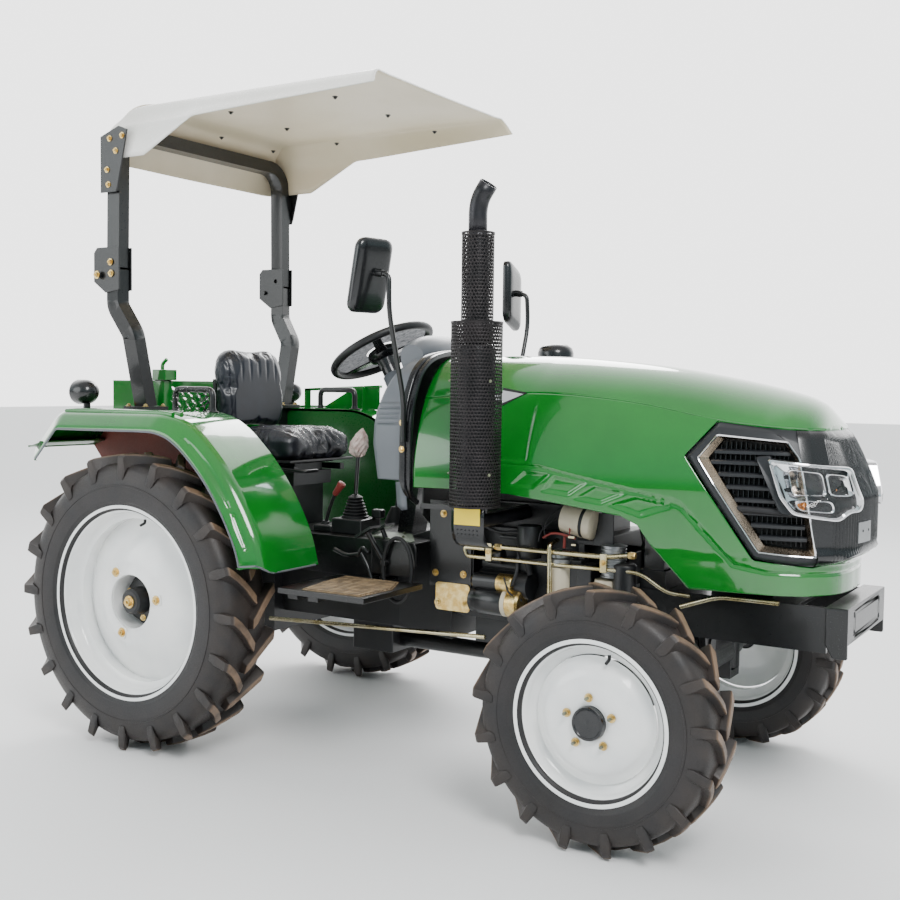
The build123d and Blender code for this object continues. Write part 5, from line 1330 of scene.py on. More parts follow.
# Exhaust. Each guard is a sheet of staggered holes wrapped round the muffler: turn = column /
# columns of a whole turn, height = row * pitch. muffler is (height, radius), pipe is (x, z),
# bracket is (y, z).
exhaust = dict(
    x=1.173, y=-0.430, hole=0.44, sheet=0.0012,
    # each guard: radius, lowest z, holes round it, rows of holes, rows' pitch
    guards=[(0.0755, 0.868, 48, 54, 0.0099), (0.0475, 1.350, 30, 32, 0.0097)],
    muffler=[(0.869, 0.020), (0.872, 0.055), (1.318, 0.056), (1.334, 0.050), (1.342, 0.0340), (1.650, 0.0330),
             (1.662, 0.0300), (1.668, 0.0250)],
    pipe=[(1.171, 1.640), (1.171, 1.750), (1.206, 1.800)], pipeRadius=0.0255,
    bracket=[(-0.4560, 0.868), (-0.4572, 0.835), (-0.4570, 0.806), (-0.4540, 0.784), (-0.4450, 0.766), (-0.4280, 0.751),
             (-0.3980, 0.742)],
    bracketX=(1.112, 1.222),
)


# a sheet of square cells, each of eight outer points round a square hole stood on its corner;
# every second row starts half a cell later
def perforatedGrid(columns, rows, hole):
    t = np.arange(8) * np.pi / 4
    ring = np.stack([np.cos(t), np.sin(t)], 1)
    cell = np.concatenate([ring / np.abs(ring).max(1)[:, None] / 2, ring[::2] * hole])
    i, j = np.meshgrid(np.arange(columns), np.arange(rows))
    middle = np.stack([i + 0.5 * (j % 2) + 0.5, j + 0.5], -1).reshape(-1, 1, 2)
    k = np.arange(4)
    following = (k + 1) % 4
    first = np.stack([2 * k, 2 * k + 1, 8 + k], 1)
    second = np.stack([2 * k + 1, (2 * k + 2) % 8, 8 + following, 8 + k], 1)
    start = np.arange(columns * rows)[:, None, None] * 12
    faces = (start + first).reshape(-1, 3).tolist() + (start + second).reshape(-1, 4).tolist()
    return (middle + cell).reshape(-1, 2), faces


def guardShape(radius, low, columns, rows, pitch):
    flat, faces = perforatedGrid(columns, rows, exhaust["hole"])
    t = flat[:, 0] * 2 * np.pi / columns
    return np.stack([exhaust["x"] + radius * np.cos(t), exhaust["y"] + radius * np.sin(t), low + pitch * flat[:, 1]],
                    1), faces


def guardRims(radius, low, _, rows, pitch):
    section = [(-0.004, radius - 0.001), (-0.004, radius + 0.0012), (0.002, radius + 0.0012), (0.002, radius - 0.001)]
    return [latheShape((exhaust["x"], exhaust["y"], z), (0, 0, 1), section, 60, closed=True)
            for z in (low, low + rows * pitch)]


centre = np.array([exhaust["x"], exhaust["y"], 0.0])
pipeWay = roundWay([(x, exhaust["y"], z) for x, z in exhaust["pipe"]], 0.040, 10)
guardTurns = [(math.cos(t), math.sin(t), 0) for t in np.radians([212, 332])]
shieldX = np.linspace(*exhaust["bracketX"], 9)
makePieces({
    "exhaustGuard": ("guardSheet", [guardShape(*row) for row in exhaust["guards"]],
                     dict(wall=exhaust["sheet"], closed=False, stands=["exhaust"])),
    "exhaustGuardRims": ("guardSheet", [rim for row in exhaust["guards"] for rim in guardRims(*row)]),
    "exhaustMuffler": ("mufflerSteel", lathes((centre, alongZ, exhaust["muffler"], 56)), dict(sharp=35)),
    "exhaustPipe": ("mufflerSteel",
                    [sweepShape(pipeWay, circleOutline(exhaust["pipeRadius"], 28), up=alongY, caps=False)],
                    dict(wall=0.002, closed=False)),
    "exhaustElbow": ("mufflerSteel", tubeRow(([(1.173, -0.105, 0.82), (1.173, -0.43, 0.82), (1.173, -0.43, 0.874)],
                                              0.022, 0.05, alongX, 20))),
    "exhaustCarrier": ("blackEnamel", boxRow(((1.0, -0.456, 0.85), (1.23, -0.197, 0.856)),
                                             ((1.0, -0.456, 0.85), (1.23, -0.45, 0.866)),
                                             ((1.0, -0.203, 0.7), (1.035, -0.197, 0.866))), dict(bevel=0.0015)),
    "exhaustShield": ("blackAbs", [gridShape(np.array([[(x, y, z) for x in shieldX] for y, z in exhaust["bracket"]]))],
                      dict(wall=0.003, closed=False, sharp=60)),
    # two rows of six small holes: step to the right, step down and outwards
    "exhaustShieldHoles": ("blackRubber", [
        latheShape((1.132 + 0.0132 * i, -0.4603 + 0.0022 * j, 0.796 - 0.013 * j), (0, -1, 0),
                   [(0, 0.0022), (0.0006, 0.0022)], 10) for i in range(6) for j in range(2)]),
    "exhaustPlate": ("yellowPlate", [plateShape([(1.122, -0.4604, 0.811), (1.209, -0.4604, 0.812),
                                                 (1.209, -0.4604, 0.864), (1.122, -0.4604, 0.862)], (0, -0.0008, 0))]),
    "exhaustGuardBolts": ("greyPhosphate", [boltShape(centre + [0.077 * out[0], 0.077 * out[1], z], out, 0.005)
                                            for out in guardTurns for z in (0.962, 1.232)]),
})
print("stage: exhaust")

# Steering wheel: hub is a profile of (height over the rim's plane, radius); the film is a disc
# whose height over the wheel wanders with the turn and the radius.
hand = dict(
    centre=np.array([0.535, 0.0, 1.335]), tilt=math.radians(29.3), radius=0.180, rim=0.0138, spokes=(90, 210, 330),
    hub=[(-0.074, 0.016), (-0.070, 0.029), (-0.036, 0.034), (-0.028, 0.050), (-0.010, 0.057), (0.002, 0.053),
         (0.008, 0.040), (0.010, 0.020), (0.0105, 0.001)],
    badge=[(0, 0.026), (0.002, 0.025), (0.0026, 0.001)],
    # a spoke's way: (distance from the centre, height), and its section
    spokeWay=[(0.030, -0.020), (0.070, -0.012), (0.120, -0.005), (0.172, 0.0)], spokeScale=[1.25, 0.95, 0.8, 0.85],
    spokeSection=[(-0.020, -0.003), (0.020, -0.003), (0.020, 0.002), (0.014, 0.005), (-0.014, 0.005), (-0.020, 0.002)],
    film=(0.056, 0.176), boot=[(-0.10, 0.052), (-0.07, 0.050), (0.02, 0.043), (0.10, 0.038), (0.155, 0.036),
                               (0.160, 0.030)],
)
handAxis = np.array([-math.sin(hand["tilt"]), 0, math.cos(hand["tilt"])])
handSide, handDown = np.array([0.0, 1.0, 0.0]), np.array([-math.cos(hand["tilt"]), 0, -math.sin(hand["tilt"])])


def handSpoke(turn):
    out = math.cos(turn) * handSide + math.sin(turn) * handDown
    way = [hand["centre"] + out * reach + handAxis * height for reach, height in hand["spokeWay"]]
    return sweepShape(way, hand["spokeSection"], up=handAxis, scale=hand["spokeScale"])


def handFilm():
    low, high = hand["film"]
    r, t = np.linspace(low, high, 14)[:, None], np.linspace(0, 2 * np.pi, 160, endpoint=False)[None]
    crease = 0.0022 * np.sin(9 * t + 60 * r) + 0.0016 * np.sin(23 * t - 90 * r) + 0.0011 * np.sin(41 * t + 170 * r)
    crease = crease * np.sin(np.pi * (r - low) / (high - low)) + 0.006
    return gridShape(hand["centre"] + (r * np.cos(t))[..., None] * handSide + (r * np.sin(t))[..., None] * handDown
                     + crease[..., None] * handAxis, closedColumns=True)


t = np.linspace(0, 2 * np.pi, 24, endpoint=False)
rimSection = np.stack([hand["rim"] * np.cos(t), hand["radius"] + hand["rim"] * np.sin(t)], 1)
makePieces({
    "handRim": ("wheelRimFoam", lathes((hand["centre"], handAxis, rimSection, 96, True)),
                dict(stands=["steering_wheel"])),
    "handSpokes": ("blackAbs", [handSpoke(turn) for turn in np.radians(hand["spokes"])], dict(bevel=0.001)),
    "handHub": ("blackAbs", lathes((hand["centre"], handAxis, hand["hub"], 56)), dict(sharp=45)),
    "handBadge": ("greyAbs", lathes((hand["centre"] + handAxis * 0.0095, handAxis, hand["badge"], 40)),
                  dict(sharp=45, slotName="black_plastic")),
    # the wheel's film is tinted dark grey as painted shade of the cab
    "handFilm": ("smokyFilm", [handFilm()], dict(closed=False, sharp=180)),
}, "hand_wheel")
makePiece("columnBoot", lathes((hand["centre"] - handAxis * 0.250, handAxis, hand["boot"], 40)), "greyAbs", sharp=50)
print("stage: steering wheel")

# Mirrors: shell is (distance ahead, share of the outline); each side's set is its turn, the
# head's lean ahead and the dip of its outer edge.
mirror = dict(
    wide=0.135, high=0.225, corner=0.030, place=(0.806, 0.450, 1.550), glass=0.90, glassBack=0.0153,
    set={-1: (-0.26, 0.17, 0.0), 1: (-0.14, 0.0, -0.32)}, stalk=0.008, socket=0.012,
    shell=[(-0.0150, 0.955), (-0.0145, 0.985), (-0.0120, 1.0), (0.0, 1.0), (0.006, 0.975), (0.011, 0.90), (0.014, 0.74),
           (0.015, 0.45), (0.0152, 0.1)],
    stalkWay=[(0.870, 0.3595, 1.040), (0.870, 0.3595, 1.170), (0.873, 0.448, 1.440), (0.869, 0.443, 1.552),
              (0.815, 0.446, 1.560)],
    socketWay=[(0.846, 0.4440, 1.5560), (0.812, 0.4455, 1.5605)],
)


# a rounded rectangle about the origin, as (side, up)
def roundedOutline(wide, high, corner, steps=6):
    quarter = np.linspace(0, np.pi / 2, steps)
    middles = [(1, 1, 0), (-1, 1, 1), (-1, -1, 2), (1, -1, 3)]
    return np.concatenate([np.stack([sx * (wide / 2 - corner) + corner * np.cos(quarter + k * np.pi / 2),
                                     sy * (high / 2 - corner) + corner * np.sin(quarter + k * np.pi / 2)], 1)
                           for sx, sy, k in middles])


def mirrorParts(side):
    flip = np.array([1, side, 1])
    turn, lean, dip = mirror["set"][side]
    across = np.array([math.sin(turn), side * math.cos(turn), dip])
    front = np.array([math.cos(turn), -side * math.sin(turn), 0])
    up = np.array([lean, 0, 1.0])
    outline = roundedOutline(mirror["wide"], mirror["high"], mirror["corner"])
    levels = np.array(mirror["shell"])
    flat = outline[None] * levels[:, None, 1:]
    place = mirror["place"] * flip
    grid = place + flat[..., :1] * across + flat[..., 1:] * up + levels[:, None, :1] * front
    glass = place + (outline[:, :1] * across + outline[:, 1:] * up) * mirror["glass"] - front * mirror["glassBack"]
    stalk = tubeShape(mirror["stalkWay"] * flip, mirror["stalk"], [0.05, 0.05, 0.02], alongX)
    socket = tubeShape(mirror["socketWay"] * flip, mirror["socket"])
    return gridShape(grid, closedColumns=True, capRows=True), plateShape(glass, -front * 0.0012), [stalk, socket]


heads, glasses, stalks = zip(*bothSides(mirrorParts))
makePieces({
    "mirrorHeads": ("blackAbs", heads, dict(sharp=50, stands=["mirrors"])),
    "mirrorGlasses": ("mirrorGlass", glasses),
    "mirrorStalks": ("blackEnamel", [shape for pair in stalks for shape in pair]),
})
print("stage: mirrors")

# Seat pads are swollen by cloth under pressure from a slightly smaller block: the block is
# remeshed evenly, blown up for some frames, and each point's way is capped.
# Cushion levels: (height, share of the width, share of the depth); back levels: (x, share of
# the outline), the outline being (y, z).
seat = dict(
    voxel=0.006, pressure=4.0, frames=20, cushionCap=0.022, backCap=0.013,
    channel=0.046, channelDeep=0.0035, channelWidth=0.0045,
    cushionOutline=(0.306, 0.380, 0.055, 8), cushionX=0.127,
    cushionLevels=[(0.953, 0.90, 0.92), (0.960, 0.985, 0.985), (0.975, 1.0, 1.0), (1.010, 1.0, 1.0),
                   (1.024, 0.97, 0.975), (1.032, 0.89, 0.91), (1.035, 0.6, 0.7)],
    backOutline=[(-0.140, 1.048), (0.140, 1.048), (0.166, 1.085), (0.173, 1.160), (0.171, 1.270), (0.155, 1.318),
                 (0.115, 1.346), (-0.115, 1.346), (-0.155, 1.318), (-0.171, 1.270), (-0.173, 1.160), (-0.166, 1.085)],
    backMiddle=(0.0, 1.200), backRake=(0.012, 0.15),
    backLevels=[(-0.036, 0.72), (-0.043, 0.90), (-0.056, 0.985), (-0.075, 1.0), (-0.098, 0.99), (-0.110, 0.93),
                (-0.115, 0.75)],
    # the room that each pad may fill: lowest and highest corner
    cushionRoom=((-0.036, -0.200, 0.9453), (0.290, 0.200, 1.050)),
    backRoom=((-0.130, -0.190, 1.040), (-0.028, 0.190, 1.358)), filmMiddle=(0.127, 0.0, 0.995),
)


def plump(shape, cap):
    mesh = bpy.data.meshes.new("pad")
    mesh.from_pydata(np.asarray(shape[0]).tolist(), [], shape[1])
    pad = bpy.data.objects.new("pad", mesh)
    bpy.context.scene.collection.objects.link(pad)
    even = pad.modifiers.new("even", "REMESH")
    even.mode, even.voxel_size = "VOXEL", seat["voxel"]
    graph = bpy.context.evaluated_depsgraph_get()
    pad.data = bpy.data.meshes.new_from_object(pad.evaluated_get(graph))
    pad.modifiers.clear()
    start = np.array([v.co for v in pad.data.vertices])
    faces = [list(f.vertices) for f in pad.data.polygons]
    move = np.zeros_like(start)
    cloth = pad.modifiers.new("cloth", "CLOTH")
    cloth.settings.use_pressure = True
    cloth.settings.uniform_pressure_force = seat["pressure"]
    cloth.settings.effector_weights.gravity = 0
    cloth.point_cache.frame_end = seat["frames"]
    for step in range(1, seat["frames"] + 1):
        bpy.context.scene.frame_set(step)
    graph = bpy.context.evaluated_depsgraph_get()
    blown = bpy.data.meshes.new_from_object(pad.evaluated_get(graph))
    move = np.array([v.co for v in blown.vertices]) - start
    pad.modifiers.clear()
    bpy.context.scene.frame_set(1)
    length = np.linalg.norm(move, axis=1)[:, None]
    move *= np.minimum(1, cap / np.maximum(length, 1e-9))
    bpy.data.objects.remove(pad)
    return start + move, faces


# sewn channels: grooves of the given depth at even steps across the seat, on the side that
# the given axis faces
def channelled(shape, axis, middle):
    points, faces = shape
    points = points.copy()
    phase = np.abs((points[:, 1] / seat["channel"] + 0.5) % 1 - 0.5) * seat["channel"]
    groove = np.exp(-(phase / seat["channelWidth"]) ** 2) * seat["channelDeep"]
    face = np.clip((points[:, axis] - middle) / 0.02, 0, 1)
    points[:, axis] -= groove * face
    return points, faces


def cushionBlock():
    levels = np.array(seat["cushionLevels"])
    flat = roundedOutline(*seat["cushionOutline"])[None] * levels[:, None, 1:]
    grid = np.concatenate([flat, np.broadcast_to(levels[:, None, :1], (*flat.shape[:2], 1))], -1)
    points, faces = gridShape(grid, closedColumns=True, capRows=True)
    return points + np.array([seat["cushionX"], 0, 0]), faces


def backBlock():
    outline, middle = loopPoints(seat["backOutline"], 0.022, 4, 4), np.array(seat["backMiddle"])
    rings = []
    for x, share in seat["backLevels"]:
        ring = middle + (outline - middle) * share
        rings.append(np.stack([x - seat["backRake"][0] * (ring[:, 1] - middle[1]) / seat["backRake"][1], ring[:, 0],
                               ring[:, 1]], 1))
    return gridShape(np.array(rings), closedColumns=True, capRows=True)


cushionShape = channelled(plump(cushionBlock(), seat["cushionCap"]), 2, 1.02)
backShape = channelled(plump(backBlock(), seat["backCap"]), 0, -0.075)
for name, shape, node, room in (("seatPad", cushionShape, "seat_cushion", seat["cushionRoom"]),
                                ("backPad", backShape, "seat_back", seat["backRoom"])):
    pad = makePiece(name, [(np.clip(shape[0], *room), shape[1])], "navyVinyl", subdivide=1, sharp=180, stands=[node])


# film over the cushion: the pad's own shape, a little larger, crumpled by crossing waves
def seatFilm():
    points, faces = cushionShape
    outward = points - np.array(seat["filmMiddle"])
    outward /= np.linalg.norm(outward, axis=1)[:, None]
    wrinkle = (np.sin(points @ np.array([90, 60, 140])) * np.sin(points @ np.array([-70, 110, 40])) * 0.0022
               + np.sin(points @ np.array([210, -160, 90])) * 0.0010 + 0.0040)
    return points + outward * wrinkle[:, None], faces


# levers: bellows of six rings, each a valley, a crest's start and its end
def leverBellows():
    profile = [(0.0, 0.046), (0.006, 0.0465)]
    for ring in range(6):
        wide, low = 0.042 - 0.0033 * ring, 0.0105 * ring
        profile += [(0.010 + low, wide - 0.006), (0.0145 + low, wide), (0.0175 + low, wide)]
    return profile + [(0.0765, 0.014), (0.0800, 0.008)]


# the film bunched over the main knob: a sac whose radius wanders, drawn to a tip
def leverFilm():
    v, u = np.linspace(0, 1, 40)[:, None], np.linspace(0, 2 * np.pi, 60, endpoint=False)[None]
    sac = np.interp(v, [0, 0.06, 0.2, 0.45, 0.7, 0.85, 1.0], [0.006, 0.018, 0.0285, 0.030, 0.022, 0.013, 0.002])
    sac = sac * (1 + 0.10 * np.sin(5 * u + 7 * v) + 0.07 * np.sin(11 * u - 23 * v) + 0.05 * np.sin(17 * v + 3 * u))
    bunch = np.stack([0.556 + sac * np.cos(u) + 0.022 * v ** 2, -0.165 + sac * np.sin(u) - 0.006 * v,
                      0.970 + 0.100 * v + 0 * u], -1)
    return gridShape(bunch, closedColumns=True, capRows=True)


makePieces({
    "seatFilm": ("wrappingFilm", [seatFilm()], dict(sharp=180, slotName="seat_vinyl")),
    "seatRails": ("blackEnamel", [boxShape((0.000, side * 0.135 - 0.012, 0.900), (0.262, side * 0.135 + 0.012, 0.922))
                                  for side in bothWays], dict(bevel=0.002)),
    "seatHandles": ("blackEnamel",
                    tubeRow(([(0.180, -0.175, 0.918), (0.330, -0.175, 0.910), (0.345, -0.120, 0.912)], 0.006, 0.02),
                            ([(0.050, -0.150, 0.880), (0.115, -0.170, 0.820), (0.180, -0.170, 0.760)],
                             0.009, 0.03))),
    "leverBellows": ("blackRubber", lathes(
        ((0.545, -0.165, 0.764), alongZ, leverBellows(), 40),
        ((0.420, -0.175, 0.712), (0.25, 0, 1), [(0, 0.028), (0.012, 0.026), (0.016, 0.016), (0.034, 0.012)], 28),
        ((0.500, 0.150, 0.712), alongZ, [(0, 0.044), (0.03, 0.034), (0.06, 0.020)], 32)),
        dict(sharp=45, stands=["control_levers"])),
    "leverBlocks": ("castIron", boxRow(((0.485, -0.222, 0.712), (0.612, -0.108, 0.764)),
                                       ((0.400, -0.215, 0.712), (0.480, -0.130, 0.735)),
                                       ((0.600, -0.150, 0.764), (0.640, -0.120, 0.795))), dict(bevel=0.006)),
    "leverRods": ("blackEnamel", tubeRow(
        ([(0.545, -0.165, 0.830), (0.551, -0.165, 0.920), (0.556, -0.165, 0.985)], 0.0068, 0.03, alongY),
        ([(0.422, -0.175, 0.725), (0.446, -0.175, 0.800), (0.466, -0.175, 0.842)], 0.0062, 0.03, alongY),
        ([(0.500, 0.150, 0.760), (0.510, 0.150, 0.830), (0.520, 0.150, 0.890)], 0.0065, 0.03, alongY))),
    "leverKnobs": ("blackAbs", lathes(
        ((0.556, -0.165, 0.982), alongZ, [(0, 0.010), (0.008, 0.019), (0.03, 0.024), (0.05, 0.020), (0.058, 0.004)],
         24),
        ((0.520, 0.150, 0.884), alongZ, [(0, 0.006), (0.006, 0.014), (0.018, 0.018), (0.03, 0.013), (0.034, 0.003)],
         24))),
    "leverRedGrip": ("redGrip", lathes(((0.464, -0.175, 0.838), (0.62, 0, 0.78), [
        (0, 0.0085), (0.006, 0.011), (0.034, 0.0125), (0.046, 0.0145), (0.052, 0.013), (0.055, 0.004)], 24))),
    "leverFilm": ("bunchedFilm", [leverFilm()], dict(sharp=180)),
})

# Deck and steps. The ring is an upright oval with a round section; the tread has slats along
# the step between two slanting ends.
deck = dict(
    floorZ=0.7122, cover=[(0.583, -0.196), (0.583, -0.100), (0.735, -0.096), (0.838, -0.240), (0.838, -0.262)],
    coverThick=0.003, coverBolts=[(0.600, -0.180), (0.605, -0.115), (0.712, -0.112), (0.760, -0.190), (0.690, -0.190)],
    toeBoard=[(0.690, 0.600), (0.690, 0.7118), (0.852, 0.7118), (0.862, 0.700), (0.862, 0.640), (0.830, 0.600)],
    ringPlace=(0.800, -0.282, 0.622), ringHalf=(0.056, 0.104), ringThick=0.0065,
    tray=[(0.612, 0.300), (0.618, 0.425), (0.651, 0.582), (0.868, 0.576), (0.878, 0.420), (0.820, 0.300)],
    slatY=(0.318, 0.566, 13), slatHalf=0.0062, slatZ=(0.5875, 0.5905),
)


def guardRing():
    t = np.linspace(0, 2 * np.pi, 49)[:-1]
    (x, y, z), (wide, high) = deck["ringPlace"], deck["ringHalf"]
    way = np.stack([x + wide * np.cos(t), np.full(48, y), z + high * np.sin(t)], 1)
    section = circleOutline(deck["ringThick"], 12)
    out = np.stack([np.cos(t) / wide, 0 * t, np.sin(t) / high], 1)
    out /= np.linalg.norm(out, axis=1)[:, None]
    grid = way[:, None] + section[None, :, :1] * out[:, None] + section[None, :, 1:] * np.array(alongY, float)
    return gridShape(grid, closedRows=True, closedColumns=True)


def treadSlats(side):
    slats = [plateShape([(x, side * y, 0.5853) for x, y in deck["tray"]], (0, 0, 0.0022))]
    (low, high), half = deck["slatZ"], deck["slatHalf"]
    for y in np.linspace(*deck["slatY"]):
        rear = np.interp(y, [0.300, 0.425, 0.582], [0.618, 0.624, 0.657])
        front = np.interp(y, [0.300, 0.420, 0.576], [0.815, 0.872, 0.862])
        slats.append(boxShape(*np.sort([(rear, side * (y - half), low), (front, side * (y + half), high)], 0)))
    return slats


coverTop = deck["floorZ"] + deck["coverThick"]
makePieces({
    "deckCover": ("grittyPaint", [plateShape([(x, y, deck["floorZ"]) for x, y in deck["cover"]],
                                             (0, 0, deck["coverThick"]))],
                  dict(bevel=0.0008)),
    "deckCoverBolts": ("greyPhosphate", [boltShape((x, y, coverTop), alongZ, 0.0075) for x, y in deck["coverBolts"]]),
    "toeBoards": ("blackEnamel", [plateShape([(x, side * 0.267, z) for x, z in deck["toeBoard"]], (0, -side * 0.004, 0))
                                  for side in bothWays] + boxRow(((0.690, -0.266, 0.7075), (0.862, 0.266, 0.7118))),
                  dict(bevel=0.001)),
    "guardRing": ("blackRubber", [guardRing()]),
    "brakeLink": ("blackEnamel", tubeRow(
        ([(0.655, -0.300, 0.655), (0.672, -0.300, 0.690), (0.700, -0.300, 0.672)], 0.005, 0.01, alongY),
        ([(0.670, -0.300, 0.668), (0.700, -0.305, 0.630), (0.715, -0.305, 0.589)], 0.006, 0.02, alongY),
        ([(0.560, -0.300, 0.672), (0.610, -0.300, 0.655), (0.660, -0.300, 0.664)], 0.007, 0.02, alongY)),
        dict(slotName="steel")),
    "stepTreads": ("grittyStep", treadSlats(-1) + treadSlats(1)),
})
print("stage: operator's place")

# Rear: grab loops and lamps on the fenders, valve block, far rail, ridges. loopWay is (x, z).
rear = dict(
    loopY=0.407, loopWay=[(-0.055, 1.116), (-0.055, 1.193), (0.118, 1.193), (0.118, 1.116)],
    loopFoot=[(0, 0.022), (0.004, 0.022), (0.006, 0.013), (0.014, 0.012)],
    lampY=0.560, lampBody=[(-0.045, 0.036), (-0.044, 0.041), (-0.036, 0.0435), (-0.004, 0.0430), (0.014, 0.0400),
                           (0.028, 0.0310), (0.037, 0.0180), (0.041, 0.0020)],
    lampGlass=[(0, 0.038), (0.003, 0.038), (0.0045, 0.020), (0.005, 0.001)],
    lampStem=[(0, 0.024), (0.003, 0.024), (0.004, 0.0125), (0.028, 0.012), (0.032, 0.016)],
    ridgeY=(0.600, 0.640), ridgeWay=[(-0.340, 1.1135), (-0.300, 1.1165), (0.120, 1.1165), (0.165, 1.112)],
)


# film on the near loop: an upright sheet, wavy across
def loopFilm():
    s, t = np.linspace(0, 1, 40)[:, None], np.linspace(0, 1, 60)[None]
    wave = 0.003 * np.sin(31 * t + 9 * s) + 0.002 * np.sin(57 * t - 17 * s) + 0.0015 * np.sin(23 * s + 11 * t)
    return gridShape(np.stack([-0.060 + 0.176 * t + 0 * s, -0.4215 + wave - 0.001 * s,
                               1.118 + 0.082 * s + 0.002 * np.sin(20 * t)], -1))


makePieces({
    "grabLoopTubes": ("blackEnamel",
                      [tubeShape([(x, side * rear["loopY"], z) for x, z in rear["loopWay"]], 0.0105, 0.026, alongY)
                       for side in bothWays], dict(stands=["grab_loops"])),
    "grabLoopFilm": ("wrappingFilm", [loopFilm()], dict(closed=False, sharp=180)),
    "grabLoopFeet": ("blackEnamel", [latheShape((x, side * rear["loopY"], 1.1155), alongZ, rear["loopFoot"], 24)
                                     for side in bothWays for x in (-0.055, 0.118)]),
    "fenderLampBodies": ("blackAbs", [latheShape((-0.330, side * rear["lampY"], 1.179), alongX, rear["lampBody"], 48)
                                      for side in bothWays], dict(sharp=50, stands=["fender_lamps"])),
    "fenderLampGlasses": ("amberAcrylic",
                          [latheShape((-0.373, side * rear["lampY"], 1.179), (-1, 0, 0), rear["lampGlass"], 40)
                           for side in bothWays], dict(sharp=50)),
    "fenderLampStems": ("blackEnamel", [latheShape((-0.330, side * rear["lampY"], 1.115), alongZ, rear["lampStem"], 28)
                                        for side in bothWays]),
    "valveBlock": ("greenEnamel", boxRow(((-0.250, -0.330, 1.223), (-0.185, -0.270, 1.262)),
                                         ((-0.262, -0.322, 1.050), (-0.200, -0.278, 1.223)))
                   + tubeRow(([(-0.228, -0.300, 1.258), (-0.228, -0.300, 1.282), (-0.205, -0.300, 1.300)], 0.007,
                              0.01, alongY)),
                   dict(bevel=0.003)),
    "farRail": ("greenEnamel", [
        boxShape((-0.212, 0.498, 1.114), (-0.180, 0.502, 1.196)),
        plateShape([(-0.212, 0.498, 1.186), (-0.212, 0.498, 1.197), (0.171, 0.498, 1.214), (0.171, 0.498, 1.203)],
                   (0, 0.024, 0)),
        plateShape([(-0.125, 0.502, 1.114), (0.032, 0.502, 1.197), (0.171, 0.502, 1.208), (0.171, 0.502, 1.114)],
                   (0, 0.004, 0)),
        boxShape((0.100, 0.480, 1.114), (0.104, 0.524, 1.208))], dict(bevel=0.0012)),
    "fenderRidges": ("greenEnamel", [tubeShape([(x, side * y, z) for x, z in rear["ridgeWay"]], 0.008, 0.02)
                                     for side in bothWays for y in rear["ridgeY"]]),
})

# Bolts that stand on both sides or on top: finish, body, size, the way they face (out is a
# side's own), and their places on the left side.
boltRows = {
    "postBolts": ("goldZinc", "chassis", 0.013, "out", [(-0.301, 0.4770, 1.637), (-0.298, 0.4770, 1.597)]),
    "foldPins": ("goldZinc", "roll_hoop", 0.015, "out", [(-0.358, 0.4870, 1.593)]),
    "gussetBolts": ("goldZinc", "roll_hoop", 0.0115, "out", [
        (-0.311, 0.4815, 1.958), (-0.305, 0.4815, 1.906), (-0.298, 0.4815, 2.065), (-0.236, 0.4815, 2.070),
        (-0.268, 0.4815, 2.020)]),
    "footBolts": ("goldZinc", "chassis", 0.011, alongZ,
                  [(x, y, 1.129) for x in (-0.277, -0.193) for y in (0.332, 0.416)]),
    "archBolts": ("goldZinc", "chassis", 0.0105, "out", [(0.859, 0.3505, 1.100), (0.859, 0.3505, 1.017)]),
}
for name, (finishName, body, size, facing, places) in boltRows.items():
    makePiece(name, [boltShape((x, side * y, z), (0, side, 0) if facing == "out" else facing, size)
                     for side in bothWays for x, y, z in places], finishName, body)
makePiece("canopyBolts", [boltShape((x, y, 2.150), (0, 0, -1), 0.010) for x in (-0.22, 0.10, 0.55)
                          for y in (-0.30, 0.0, 0.30)],
          "blackEnamel", "roll_hoop")
print("stage: rear pieces")

